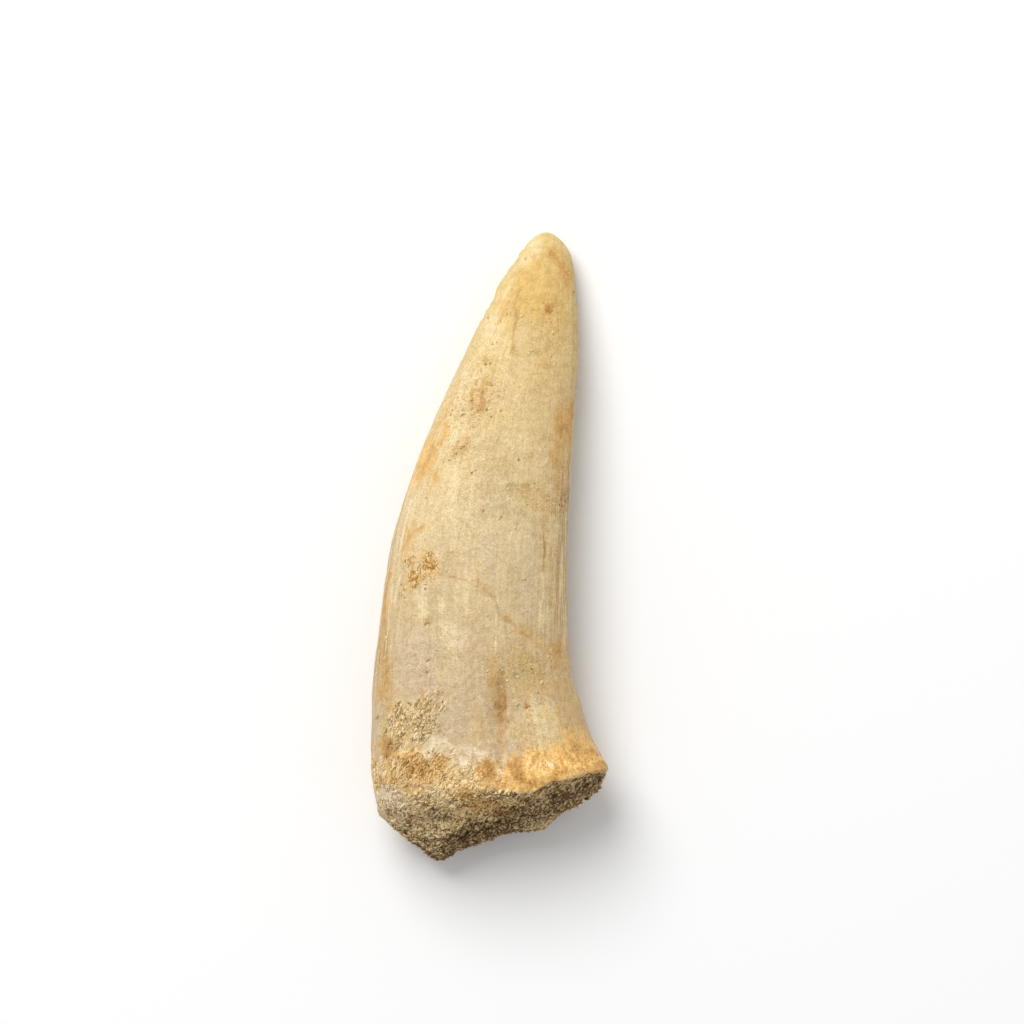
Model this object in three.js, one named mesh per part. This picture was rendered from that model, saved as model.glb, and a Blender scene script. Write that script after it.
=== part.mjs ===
// A fossil fang of a large predatory fish, lying on one flank. Millimetres.
// +X runs from the bowed front edge to the hollow back edge, +Y from the broken base to the tip, +Z up.
// The tooth, the lump of sandy matrix on its broken base and the crust on its flanks are one solid.
import * as THREE from "three";

// Cross-sections from the tip to beyond the break. Each is a chord in plan between the front and the back
// edge, with the height of its widest line and its thickness as a share of its width.
const SECTIONS = [
  { front: [3.67, 21.0], back: [3.67, 21.0], coreHeight: 1.35, slimness: 0.84 },
  { front: [2.35, 20.3], back: [4.97, 19.95], coreHeight: 1.38, slimness: 0.82 },
  { front: [1.42, 18.85], back: [5.56, 18.4], coreHeight: 1.58, slimness: 0.8 },
  { front: [-0.02, 16.1], back: [5.93, 15.3], coreHeight: 2.35, slimness: 0.76 },
  { front: [-2.4, 11.1], back: [5.85, 9.9], coreHeight: 3.3, slimness: 0.72 },
  { front: [-4.76, 5.6], back: [5.42, 4.0], coreHeight: 3.98, slimness: 0.7 },
  { front: [-6.44, -0.2], back: [5.28, -1.5], coreHeight: 4.38, slimness: 0.685 },
  { front: [-7.36, -6.0], back: [5.36, -6.8], coreHeight: 4.4, slimness: 0.67 },
  { front: [-7.72, -10.4], back: [6.0, -10.4], coreHeight: 4.32, slimness: 0.665 },
  { front: [-7.75, -12.9], back: [6.86, -12.8], coreHeight: 4.3, slimness: 0.655 },
  { front: [-7.6, -15.0], back: [7.95, -14.7], coreHeight: 4.38, slimness: 0.645 },
  { front: [-7.38, -17.7], back: [8.05, -15.9], coreHeight: 4.4, slimness: 0.645 },
  { front: [-7.5, -22.5], back: [7.8, -22.5], coreHeight: 4.4, slimness: 0.645 },
];
const CROWN_SQUARENESS = 2.1; // superellipse exponent of the crown's sections, where 2 is an ellipse
const BASE_SQUARENESS = 2.45; // the same at the base, whose flanks are flatter
const FRONT_FULLNESS = 0.09; // how much thicker each section is towards its front edge
const UNDERSIDE_SHARE = 0.96; // thickness below the widest line, as a share of that above it

// The break, in plan. TOP_RIM is where it cuts the upper flank, and BREAK_FOOT is its furthest reach.
const TOP_RIM = [
  [-7.6, -17.7],
  [-5.5, -17.2],
  [-2.7, -16.8],
  [0.6, -16.1],
  [2.7, -16.3],
  [4.6, -15.5],
  [8.1, -14.7],
];
const BREAK_FOOT = [
  [-7.7, -17.7],
  [-6.1, -19.05],
  [-3.9, -20.8],
  [-3.2, -21.0],
  [-2.0, -20.35],
  [0.2, -19.5],
  [1.5, -19.05],
  [3.5, -19.1],
  [4.6, -18.1],
  [6.0, -17.25],
  [7.6, -16.1],
  [8.1, -14.9],
];
const FOOT_HEIGHT = 2.4; // the break reaches furthest at this height
const FOOT_UNDERCUT = 1.0; // how far it draws back from there to the surface below
const FOOT_BAND = 0.7; // the lumps fade out this near to that height, so that the foot keeps its outline
const BASE_CENTRE = { x: 0.1, halfWidth: 7.95, z: 4.4, halfThickness: 5.1 };

// Relief on the flanks: places are [x, y] in plan, and a positive height stands proud.
const UPPER_SPOTS = {
  lipOverTheBreak: { at: [3.9, -15.2], reach: [4.2, 0.75], height: 0.34 },
  swellingByTheFurrow: { at: [3.3, -11.6], reach: [1.9, 2.4], height: 0.22 },
  knobByTheFurrow: { at: [1.85, -12.8], reach: [0.45, 0.55], height: 0.14 },
  pittedHollow: { at: [-1.0, 10.3], reach: [1.1, 1.7], height: -0.1 },
};
const UPPER_CRUSTS = {
  baseCorner: { at: [-5.2, -14.9], reach: [2.6, 2.3], height: 0.3 },
  aboveTheCorner: { at: [-4.9, -10.9], reach: [1.9, 1.2], height: 0.14 },
  rosette: { at: [-4.1, -1.7], reach: [0.9, 1.2], height: 0.14 },
};
const UPPER_FURROW = { from: [0.75, -8.6], to: [1.35, -15.4], halfWidth: 0.9, depth: 0.3 };
const LOWER_SPOTS = {
  flakedHollow: { at: [0.4, 1.6], reach: [1.7, 3.2], height: -0.16 },
};
const LOWER_CRUSTS = {
  underTheBase: { at: [-3.6, -13.2], reach: [3.2, 2.6], height: 0.2 },
  backEdge: { at: [5.2, -11.4], reach: [1.6, 2.2], height: 0.22 },
  frontEdge: { at: [-4.6, 2.9], reach: [1.1, 1.4], height: 0.14 },
};
const LOWER_FURROW = { from: [-0.4, -5.5], to: [-1.0, -15.2], halfWidth: 1.0, depth: 0.3 };
const FURROW_RUN_IN = 0.35; // a furrow deepens over this share of its length
const EDGE_CHIPS = [
  { at: [2.0, 20.05], reach: [0.36, 0.36], depth: 0.1 },
  { at: [1.42, 19.3], reach: [0.3, 0.3], depth: 0.12 },
  { at: [0.2, 16.35], reach: [0.5, 0.5], depth: 0.13 },
  { at: [-7.42, -5.3], reach: [0.6, 0.6], depth: 0.1 },
];
const RELIEF_FADE = { none: 0.2, full: 2.0 }; // half widths of the section between which the relief sets in

// Roughness: height and grain of the lumps, on the crown, in the crust and on the break.
const CROWN_WAVES = { height: 0.07, grain: 4.2, seed: 1 };
const CRUST_LUMPS = { height: 0.17, grain: 0.95, seed: 3 };
const BREAK_LUMPS = { height: 0.5, grain: 2.3, seed: 5 };
const BREAK_KNOBS = { height: 0.3, grain: 0.95, seed: 7 };
const RIM_LUMP_SHARE = 0.25; // the break's lumps are this much of their height at its rim
const LEDGES = { heights: [3.7, 6.1], depth: 0.3, halfStep: 0.25 }; // shelves across the break, by their z

// The matrix thins out up the flank from the break, soonest towards the back edge.
const MATRIX = { reach: 2.4, leastShare: 0.15, thinFrom: 1.5, thickFrom: -6 };
// Where matrix rounds off the rim: how often it is smoothed, and where in x and z the smoothing sets in.
const RIM_ROUNDING = { passes: 7, rows: 5, none: { x: 1, z: 4.4 }, full: { x: -4.5, z: 6.5 } };

// Facets.
const COLUMNS = 76;
const FLANK_ROWS = 50;
const BREAK_ROWS = 14;
const TIP_CROWDING = 1.2; // above 1, the rows lie closer together at the tip
const BISECTIONS = 26;

// A line y(x) through hand-picked points, straight between them.
function through(points) {
  return (x) => {
    const last = points.length - 1;
    if (x <= points[0][0]) return points[0][1];
    if (x >= points[last][0]) return points[last][1];
    const next = points.findIndex((p) => p[0] > x);
    const [x0, y0] = points[next - 1];
    const [x1, y1] = points[next];
    return THREE.MathUtils.lerp(y0, y1, (x - x0) / (x1 - x0));
  };
}

// A repeatable random number from 0 to 1 for a point of a whole-number lattice.
function latticeValue(i, j, k) {
  const h = Math.sin(i * 127.1 + j * 311.7 + k * 74.7) * 43758.5453;
  return h - Math.floor(h);
}

// Smooth lumps one grain apart, up and down by their height.
function lumps(p, { height, grain, seed }) {
  const at = [p.x / grain + seed * 17.3, p.y / grain - seed * 5.1, p.z / grain + seed * 9.7];
  const cell = at.map(Math.floor);
  const ease = at.map((a, i) => THREE.MathUtils.smoothstep(a - cell[i], 0, 1));
  let sum = 0;
  for (let corner = 0; corner < 8; corner++) {
    const step = [corner & 1, (corner >> 1) & 1, corner >> 2];
    const weight = step.reduce((w, s, i) => w * (s ? ease[i] : 1 - ease[i]), 1);
    sum += weight * latticeValue(...cell.map((c, i) => c + step[i]));
  }
  return height * (2 * sum - 1);
}

// 1 at the middle of an oval spot, falling away beyond its reach.
function spotShare(p, { at, reach }) {
  const dx = (p.x - at[0]) / reach[0];
  const dy = (p.y - at[1]) / reach[1];
  return Math.exp(-dx * dx - dy * dy);
}

// 1 along the line of a furrow, falling away to its sides and its ends.
function furrowShare(p, { from, to, halfWidth }) {
  const start = new THREE.Vector2(...from);
  const along = new THREE.Vector2(...to).sub(start);
  const here = new THREE.Vector2(p.x, p.y).sub(start);
  const share = THREE.MathUtils.clamp(here.dot(along) / along.lengthSq(), 0, 1);
  const off = here.sub(along.multiplyScalar(share)).length() / halfWidth;
  return Math.exp(-off * off) * THREE.MathUtils.smoothstep(share, 0, FURROW_RUN_IN);
}

const fronts = SECTIONS.slice(1).map((s) => new THREE.Vector3(...s.front, 0));
const backs = SECTIONS.slice(1).map((s) => new THREE.Vector3(...s.back, 0));
const tip = new THREE.Vector3(...SECTIONS[0].front, 0);
const outline = new THREE.CatmullRomCurve3([...fronts.reverse(), tip, ...backs], false, "centripetal");
const profile = new THREE.CatmullRomCurve3(
  SECTIONS.map((s, i) => new THREE.Vector3(i, s.coreHeight, s.slimness)),
  false,
  "catmullrom",
  0.5,
);
const topRim = through(TOP_RIM);
const breakFoot = through(BREAK_FOOT);

// How deep in the matrix a point of the flank lies, from 0 on clean enamel to 1 at the break.
function matrixCover(p) {
  const thickness = THREE.MathUtils.smoothstep(-p.x, -MATRIX.thinFrom, -MATRIX.thickFrom);
  const reach = MATRIX.reach * THREE.MathUtils.lerp(MATRIX.leastShare, 1, thickness);
  return 1 - THREE.MathUtils.smoothstep(p.y - topRim(p.x), 0, reach);
}

// How far a point of the flank stands proud of the plain section.
function relief(p, upper) {
  const spots = Object.values(upper ? UPPER_SPOTS : LOWER_SPOTS);
  const crusts = Object.values(upper ? UPPER_CRUSTS : LOWER_CRUSTS);
  const furrow = upper ? UPPER_FURROW : LOWER_FURROW;
  const cover = crusts.reduce((sum, crust) => sum + spotShare(p, crust), matrixCover(p));
  const raised = [...spots, ...crusts].reduce((sum, spot) => sum + spot.height * spotShare(p, spot), 0);
  const rough = lumps(p, CROWN_WAVES) + cover * lumps(p, CRUST_LUMPS);
  return raised + rough - furrow.depth * furrowShare(p, furrow);
}

// How deep the chips in the edges cut at a point.
function chipDepth(p) {
  return EDGE_CHIPS.reduce((sum, chip) => sum + chip.depth * spotShare(p, chip), 0);
}

// A point of the flank. Turn goes round the section from the back edge over the top, and share goes from
// the tip to the last section.
function flankPoint(turn, share) {
  const front = outline.getPoint(0.5 - share / 2);
  const back = outline.getPoint(0.5 + share / 2);
  const [, coreHeight, slimness] = profile.getPoint(share).toArray();
  const across = back.clone().sub(front);
  const halfWidth = across.length() / 2;
  if (halfWidth > 0) across.divideScalar(2 * halfWidth);
  const upper = Math.sin(turn) >= 0;
  const squareness = THREE.MathUtils.lerp(CROWN_SQUARENESS, BASE_SQUARENESS, share ** 3);
  const c = Math.cos(turn);
  const s = Math.sin(turn);
  const grow = (Math.abs(c) ** squareness + Math.abs(s) ** squareness) ** (-1 / squareness);
  const thickness = slimness * (1 - FRONT_FULLNESS * c) * (upper ? 1 : UNDERSIDE_SHARE);
  const halfThickness = halfWidth * thickness;
  const p = front.clone().add(back).divideScalar(2);
  p.addScaledVector(across, halfWidth * grow * c);
  p.z = coreHeight + halfThickness * grow * s;
  const outward = across.clone().multiplyScalar(c * thickness);
  outward.z = s;
  outward.normalize();
  const fade = THREE.MathUtils.smoothstep(halfWidth, RELIEF_FADE.none, RELIEF_FADE.full);
  return p.addScaledVector(outward, fade * relief(p, upper) - chipDepth(p));
}

// The y of the broken face at a place in its own plane.
function breakAt(x, z) {
  const { x: middle, halfWidth, z: core, halfThickness } = BASE_CENTRE;
  const off = THREE.MathUtils.clamp((x - middle) / halfWidth, -1, 1);
  const top = core + halfThickness * Math.sqrt(1 - off * off);
  const rise = THREE.MathUtils.clamp((z - FOOT_HEIGHT) / Math.max(top - FOOT_HEIGHT, 1), 0, 1);
  const below = THREE.MathUtils.clamp((FOOT_HEIGHT - z) / FOOT_HEIGHT, 0, 1);
  const foot = breakFoot(x);
  const inside = 1 - off ** 4;
  const here = new THREE.Vector3(x, 0, z);
  const rough = lumps(here, BREAK_LUMPS) + lumps(here, BREAK_KNOBS);
  const steps = LEDGES.heights.map((height) =>
    THREE.MathUtils.smoothstep(z, height - LEDGES.halfStep, height + LEDGES.halfStep),
  );
  const ledges = LEDGES.depth * steps.reduce((sum, step) => sum + step - 0.5, 0);
  const slope = THREE.MathUtils.lerp(foot, topRim(x), rise) + FOOT_UNDERCUT * below * below;
  const offFoot = 1 - Math.exp(-(((z - FOOT_HEIGHT) / FOOT_BAND) ** 2));
  const offRim = Math.min(rise, 1 - rise) * 2;
  const lumpShare = THREE.MathUtils.lerp(RIM_LUMP_SHARE, 1, offRim) * offFoot;
  return slope + inside * (lumpShare * rough + offRim * ledges);
}

// Where the flank meets the break along one column, as a share of the way from the tip.
function rimShare(turn) {
  let clear = 0.5;
  let past = 1;
  for (let i = 0; i < BISECTIONS; i++) {
    const middle = (clear + past) / 2;
    const p = flankPoint(turn, middle);
    if (p.y > breakAt(p.x, p.z)) clear = middle;
    else past = middle;
  }
  return (clear + past) / 2;
}

// The skin as rows of points from the tip to the middle of the break, each row once round the tooth.
function skinRows() {
  const turns = Array.from({ length: COLUMNS }, (_, i) => (2 * Math.PI * i) / COLUMNS);
  const rims = turns.map(rimShare);
  const rows = [];
  for (let row = 1; row <= FLANK_ROWS; row++) {
    const share = (row / FLANK_ROWS) ** TIP_CROWDING;
    rows.push(turns.map((turn, i) => flankPoint(turn, rims[i] * share)));
  }
  const rim = rows[FLANK_ROWS - 1];
  const middle = rim.reduce((sum, p) => sum.add(p), new THREE.Vector3()).divideScalar(COLUMNS);
  for (let row = BREAK_ROWS - 1; row > 0; row--) {
    const share = row / BREAK_ROWS;
    rows.push(
      rim.map((p) => {
        const x = THREE.MathUtils.lerp(middle.x, p.x, share);
        const z = THREE.MathUtils.lerp(middle.z, p.z, share);
        return new THREE.Vector3(x, breakAt(x, z), z);
      }),
    );
  }
  return { rows, middle: new THREE.Vector3(middle.x, breakAt(middle.x, middle.z), middle.z) };
}

// Rounds the upper rim towards the front edge, where matrix covers it. The rest of the rim stays sharp.
function roundRim(rows) {
  const { passes, rows: reach, none, full } = RIM_ROUNDING;
  for (let pass = 0; pass < passes; pass++) {
    const before = rows.map((row) => row.map((p) => p.clone()));
    for (let row = FLANK_ROWS - reach; row < FLANK_ROWS + reach; row++) {
      before[row].forEach((p, i) => {
        const mean = before[row - 1][i].clone().add(before[row + 1][i]).divideScalar(2);
        const frontShare = THREE.MathUtils.smoothstep(-p.x, -none.x, -full.x);
        const upperShare = THREE.MathUtils.smoothstep(p.z, none.z, full.z);
        rows[row][i].lerp(mean, 0.5 * frontShare * upperShare);
      });
    }
  }
}

// One closed mesh over the rows, with a fan of faces at each end.
function skinGeometry() {
  const { rows, middle } = skinRows();
  roundRim(rows);
  const points = [new THREE.Vector3(...SECTIONS[0].front, SECTIONS[0].coreHeight), ...rows.flat(), middle];
  for (const p of points) p.z = Math.max(p.z, 0);
  const at = (row, column) => 1 + row * COLUMNS + (column % COLUMNS);
  const faces = [];
  for (let i = 0; i < COLUMNS; i++) {
    faces.push(0, at(0, i + 1), at(0, i));
    faces.push(points.length - 1, at(rows.length - 1, i), at(rows.length - 1, i + 1));
    for (let row = 0; row < rows.length - 1; row++) {
      faces.push(at(row, i), at(row, i + 1), at(row + 1, i + 1));
      faces.push(at(row, i), at(row + 1, i + 1), at(row + 1, i));
    }
  }
  const geometry = new THREE.BufferGeometry().setFromPoints(points).setIndex(faces);
  geometry.computeBoundingBox();
  const { min, max } = geometry.boundingBox;
  geometry.translate(-(min.x + max.x) / 2, -(min.y + max.y) / 2, -min.z);
  geometry.computeVertexNormals();
  return geometry;
}

function fossilEnamel() {
  return new THREE.MeshStandardMaterial({ color: 0xddc18a, roughness: 0.55, metalness: 0 });
}

function tooth() {
  const mesh = new THREE.Mesh(skinGeometry(), fossilEnamel());
  mesh.name = "tooth";
  return mesh;
}

const fossil = new THREE.Group();
fossil.add(tooth());
export default fossil;
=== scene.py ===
"""Dresses a fossil fish tooth: worn enamel, stains, cracks and pits, and sand stuck to its broken base."""

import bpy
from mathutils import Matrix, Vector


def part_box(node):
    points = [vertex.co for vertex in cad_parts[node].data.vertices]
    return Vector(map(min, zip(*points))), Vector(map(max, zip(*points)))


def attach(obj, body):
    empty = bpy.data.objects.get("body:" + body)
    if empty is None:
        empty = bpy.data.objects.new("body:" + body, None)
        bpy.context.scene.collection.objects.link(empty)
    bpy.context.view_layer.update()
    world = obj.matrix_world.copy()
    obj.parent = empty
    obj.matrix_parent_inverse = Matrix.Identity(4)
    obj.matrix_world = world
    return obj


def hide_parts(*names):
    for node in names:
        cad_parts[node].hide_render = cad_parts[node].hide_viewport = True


bl_info = {
    "name": "Fossil Fish Tooth",
    "version": (1, 0, 0),
    "blender": (4, 5, 0),
    "location": "View3D > Sidebar > Fossil Tooth",
    "description": "Builds the enamel skin, the crusts and the sand of a fossil fish tooth around its solid",
    "category": "Object",
}

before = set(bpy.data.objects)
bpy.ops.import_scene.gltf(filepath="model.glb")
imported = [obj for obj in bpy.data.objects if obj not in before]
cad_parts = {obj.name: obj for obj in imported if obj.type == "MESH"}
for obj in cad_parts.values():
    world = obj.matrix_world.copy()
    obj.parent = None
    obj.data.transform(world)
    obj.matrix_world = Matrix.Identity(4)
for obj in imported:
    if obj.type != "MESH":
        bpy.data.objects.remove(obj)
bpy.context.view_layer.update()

import functools
import itertools
import math
from types import SimpleNamespace

import bpy
import numpy as np
from mathutils.bvhtree import BVHTree

NODE = "tooth"
BODY = "root"
MM = 0.001

# The line inside the tooth that the skin's rays start from: a curve from near the tip to near the break,
# in millimetres, with one control point between its ends.
CORE_TIP = np.array((3.6, 19.3, 1.45))
CORE_BEND = np.array((-2.2, 2.0, 4.6))
CORE_BASE = np.array((-0.1, -14.3, 4.5))
# From the tip to the middle of the break: how far each ray leans away from the tip, in degrees.
RAY_STEPS = (0.0, 0.10, 0.80, 1.0)
RAY_LEANS = (0.0, 78.0, 100.0, 180.0)
RAY_START_STEPS = (0.03, 0.80)
RAYS_PER_COLUMN = 420
FLATNESS = 0.66  # the tooth's thickness as a share of its width, which evens out the columns
RIM_SLOPE = -0.5  # past the rim the skin faces further than this towards -Y
FLANK_ROWS = 238
BREAK_ROWS = 49
FLANK_EVENING = 30
BREAK_EVENING = 8
RIM_EVENING = 3

# Where marks lie: x to the right and y down over the camera's view, in steps of a fifteenth of a millimetre.
STEPS_PER_MM = 15.0
VIEW_STEPS = 1024
VIEW_ZERO = (489.75, 545.75)  # the middle of the tooth in these steps

# Marks on the enamel: x, y, half length and half width (steps), lean to the right (degrees) and strength.
# The first list of each kind is on the upper flank and the second on the lower one.
MARKS = {
    "ochre": ([
        (548, 300, 52, 20, -4, 0.8), (522, 277, 26, 9, 28, 0.35), (535, 275, 24, 14, -8, 0.9),
        (512, 308, 22, 12, 26, 0.7), (494, 329, 24, 8, 26, 0.2), (548, 360, 45, 18, 4, 0.5),
        (559, 462, 75, 13, 0, 0.7), (557, 585, 66, 11, -2, 0.45), (481, 402, 28, 16, 20, 0.4),
        (466, 416, 9, 9, 0, 0.6), (545, 447, 50, 20, 4, 0.35), (461, 447, 9, 8, 0, 0.9),
        (466, 607, 40, 16, 0, 0.15), (531, 660, 38, 20, 90, 0.45), (384, 650, 50, 7, -3, 0.65),
        (385, 690, 22, 9, 0, 0.5), (556, 680, 26, 18, -14, 0.55), (573, 728, 32, 16, -20, 0.8),
        (556, 735, 20, 26, 0, 0.3), (480, 722, 34, 12, 0, 0.45), (530, 730, 30, 14, 0, 0.35),
        (455, 492, 30, 22, 10, 0.2), (515, 610, 18, 14, 0, 0.2), (538, 684, 18, 26, 0, 0.5),
        (401, 685, 28, 18, 0, 0.25), (545, 537, 63, 15, 0, 0.5), (566, 735, 24, 20, -20, 0.6),
        (397, 739, 15, 15, 0, 0.6), (530, 692, 20, 14, 0, 0.5), (492, 672, 24, 9, 0, 0.7),
        (537, 497, 14, 16, 0, 0.6), (530, 486, 6, 7, 0, 0.35), (526, 632, 34, 9, 128, 0.6),
        (514, 330, 34, 4, 4, 0.7), (566, 425, 26, 10, 0, 0.9), (450, 553, 9, 8, 0, 0.35),
        (436, 440, 40, 7, 24, 0.6), (408, 540, 22, 8, 20, 0.5), (387, 596, 26, 6, 8, 0.7),
        # (580, 335) is partly painted light along the right edge, which faces away from the key light.
        (580, 335, 60, 8, 0, 0.6),
    ], [
        (544, 291, 51, 22, -4, 0.8), (499, 426, 45, 21, 25, 0.4), (460, 591, 45, 24, 10, 0.5),
        (553, 621, 54, 12, 0, 0.5),
    ]),
    "gold": ([
        (565, 744, 28, 16, 60, 0.6), (560, 758, 48, 21, 83, 1), (530, 775, 48, 14, 88, 0.9),
        (588, 752, 20, 18, -20, 1), (542, 722, 24, 18, -20, 0.45), (452, 778, 36, 14, 84, 0.6),
        (419, 466, 30, 6, 24, 0.7), (500, 312, 20, 14, 20, 0.3), (505, 295, 20, 8, 26, 0.3),
        # (595, 757) is painted light on the rim's right end; the strips at x 570 and 580 are partly painted
        # light on the right edge. Both face away from the key light.
        (595, 757, 16, 14, -25, 1), (570, 590, 100, 7, 0, 0.42), (580, 690, 26, 7, -16, 0.42),
    ], [
        (535, 765, 63, 24, 90, 0.9),
    ]),
    "honey": ([
        (533, 286, 36, 20, 8, 1), (557, 303, 39, 12, -8, 0.6), (544, 256, 15, 14, 0, 0.6),
        (514, 321, 27, 12, 20, 0.4), (548, 725, 20, 16, 0, 0.35),
    ], [
        (538, 291, 42, 21, 0, 0.9),
    ]),
    "orange": ([
        (557, 257, 8, 6, -20, 1), (559, 259, 13, 7, -22, 0.6), (565, 272, 15, 5, -22, 1),
        (569, 287, 12, 4, -8, 0.6), (524, 276, 9, 4.5, 14, 0.45), (547, 310, 6, 5.5, 0, 1),
        (518, 292, 14, 3, 24, 0.25), (474, 400, 12, 7, 20, 0.5), (480, 403, 9, 5, 0, 0.6),
        (483, 391, 9, 4, 12, 0.5), (472, 396, 5, 5, 0, 0.4), (490, 386, 3, 5, 0, 0.4),
        (487, 362, 6, 5, 20, 0.35), (461, 447, 6, 5, 10, 0.15), (432, 457, 20, 5, 24, 0.7),
        (424, 470, 18, 4, 26, 0.7), (436, 477, 7, 5, 0, 0.8), (443, 436, 24, 4, 26, 0.6),
        (429, 489, 8, 2, 4, 0.5), (455, 392, 14, 4, 26, 0.35), (447, 414, 18, 5, 26, 0.5),
        (564, 420, 14, 6, 0, 0.7), (562, 434, 12, 5, 0, 0.7), (571, 425, 22, 5, -4, 0.8),
        (558, 447, 9, 5, 20, 0.5), (556, 458, 8, 5, 0, 0.3), (409, 538, 8, 5, 20, 0.7),
        (420, 528, 5, 8, -25, 0.5), (427, 524, 4, 5, 0, 0.4), (403, 549, 8, 3, 16, 0.5),
        (386, 594, 20, 4.5, 8, 1), (383, 615, 18, 4, 6, 0.75), (385, 622, 10, 2.2, 4, 0.35),
        (393, 566, 10, 3, 14, 0.3), (480, 580, 9, 5, -30, 0.35), (427, 561, 12, 8, -50, 0.75),
        (416, 578, 11, 8, 15, 0.75), (384, 690, 13, 4, 0, 0.5), (392, 706, 6, 3.5, 0, 0.8),
        (390, 680, 18, 3, 0, 0.4), (557, 652, 13, 10, 0, 0.7), (562, 641, 9, 5, 0, 0.35),
        (560, 690, 14, 6, -20, 0.35), (577, 741, 6, 6, -30, 0.7), (571, 750, 10, 5, -25, 0.5),
        (583, 752, 8, 5, -30, 0.5), (590, 745, 9, 4, -22, 0.5), (547, 753, 6, 4, 0, 0.5),
        (539, 757, 10, 3.4, 22, 0.75), (526, 703, 3, 3, 0, 0.6), (484, 764, 7, 6, 0, 0.7),
        (586, 744, 14, 7.5, -25, 0.5), (488, 766, 10, 8, -30, 0.9), (479, 770, 5, 6, 0, 0.5),
        (516, 766, 12, 9, -30, 1), (524, 775, 9, 6, -35, 0.8), (513, 760, 5, 5, 0, 0.7),
        (533, 777, 8, 5, 60, 0.5), (545, 768, 5, 9, 0, 0.4), (560, 771, 6, 13, 0, 0.6),
        (599, 766, 8, 8, 0, 1), (580, 765, 5, 10, 0, 0.6), (506, 778, 5, 9, 0, 0.5),
        (488, 779, 4, 10, 0, 0.5), (418, 762, 13, 13, -10, 1), (407, 758, 8, 9, 0, 0.7),
        (436, 760, 10, 11, 0, 0.85), (424, 774, 10, 12, 0, 0.7), (445, 770, 10, 9, 0, 0.35),
        (388, 745, 9, 8, 20, 1), (386, 757, 8, 6, 0, 0.7), (393, 777, 9, 9, 0, 0.6),
        (467, 791, 7, 10, -10, 0.7), (485, 794, 5, 8, 0, 0.6), (480, 799, 8, 20, 6, 1),
        (498, 808, 7, 16, 24, 0.6), (540, 776, 4, 12, -12, 0.5), (572, 770, 4, 14, -16, 0.5),
        (388, 810, 5, 5, 0, 0.4), (382, 760, 8, 4, 0, 0.6), (380, 781, 9, 4, 0, 0.6),
        (412, 783, 8, 10, 0, 0.5),
    ], [
        (550, 300, 18, 6, -10, 0.6), (439, 495, 24, 7.5, 22, 0.7), (559, 690, 27, 10, -16, 0.7),
        (514, 777, 66, 14, 90, 0.9), (412, 732, 27, 21, 30, 0.6),
    ]),
    "brown": ([
        (499, 684, 18, 3.6, 0, 0.65), (502, 703, 21, 3.6, 6, 0.85), (505, 726, 13, 3.8, 6, 0.5),
        (502, 742, 16, 8, -4, 0.35), (520, 751, 9, 9, 0, 0.35), (501, 705, 22, 6, 4, 0.15),
        (492, 676, 16, 6, 0, 0.3), (556, 653, 8, 7, -20, 0.35), (480, 404, 7, 3, 0, 0.55),
        (482, 394, 8, 2.6, 12, 0.5), (472, 403, 5, 2.6, 0, 0.5), (474, 395, 2, 5, 0, 0.4),
        (491, 387, 2, 3.4, 0, 0.6), (474, 408, 5, 1.8, 0, 0.5), (490, 365, 4, 4, 0, 0.35),
        (464, 448, 4, 4, 0, 0.3), (547, 311, 5, 4.5, 20, 0.6), (551, 311, 3, 3, 0, 0.5),
        (565, 499, 16, 5, 0, 0.6), (552, 510, 8, 6, 0, 0.4), (525, 487, 6, 8, 0, 0.35),
        (512, 487, 5, 6, 0, 0.3), (553, 462, 6, 6, 0, 0.2), (484, 585, 8, 3.4, -45, 0.35),
        (489, 592, 7, 3, 125, 0.3), (507, 618, 8, 3, 118, 0.3), (427, 622, 3, 4, 60, 0.5),
        (526, 704, 2, 3, 60, 0.8), (388, 745, 9, 7, 20, 0.85), (408, 760, 3, 4, 60, 0.5),
        (417, 764, 6, 8, 50, 0.5), (412, 771, 3, 5, 50, 0.4), (424, 757, 3, 4, 50, 0.5),
        (433, 754, 3, 5, 60, 0.5), (430, 768, 3, 4, 40, 0.4), (396, 763, 4, 4, 0, 0.4),
        (403, 775, 3, 5, 40, 0.4), (384, 777, 4, 3, 0, 0.8), (416, 780, 3, 4, 60, 0.5),
        (400, 745, 4, 9, 0, 0.4), (469, 793, 5, 5, 0, 0.7), (479, 798, 5, 14, 6, 0.5),
        (483, 795, 3, 6, 0, 0.5), (488, 766, 8, 6, -30, 0.55), (516, 767, 10, 8, -30, 0.75),
        (524, 776, 3, 3, -30, 0.4), (577, 742, 3, 3, -30, 0.7), (386, 672, 42, 8, 0, 0.42),
        (424, 686, 26, 24, 0, 0.22), (413, 748, 3, 4, 0, 0.5), (393, 757, 5, 3, 0, 0.4),
        (557, 257, 5, 4, -20, 0.5), (561, 266, 4, 2, -20, 0.5), (566, 433, 9, 2.5, 0, 0.5),
    ], [
        (493, 468, 20, 4.5, 14, 0.6), (421, 502, 14, 10, 30, 0.8), (478, 696, 36, 5, -6, 0.6),
        (526, 579, 7.5, 6, 0, 0.6), (421, 754, 22, 15, 60, 0.6),
    ]),
    "grey": ([
        (493, 472, 33, 22, 0, 0.35), (529, 540, 36, 24, 0, 0.35), (488, 552, 26, 15, 0, 0.55),
        (498, 507, 24, 15, 0, 0.45), (523, 585, 36, 20, 0, 0.45), (467, 690, 34, 24, 0, 0.55),
        (415, 668, 40, 22, 0, 0.9), (426, 692, 20, 18, 0, 0.9), (452, 715, 26, 26, 20, 0.7),
        (492, 752, 12, 12, 70, 0.6), (377, 720, 22, 5, 0, 1), (514, 751, 13, 11, 30, 1),
        (499, 767, 7, 4, -35, 0.9), (528, 753, 12, 9, 0, 0.8), (424, 600, 14, 6, 0, 0.6),
        (470, 742, 8, 14, 0, 0.6), (540, 600, 30, 8, 0, 0.3), (480, 640, 20, 12, 0, 0.4),
    ], [
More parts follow.
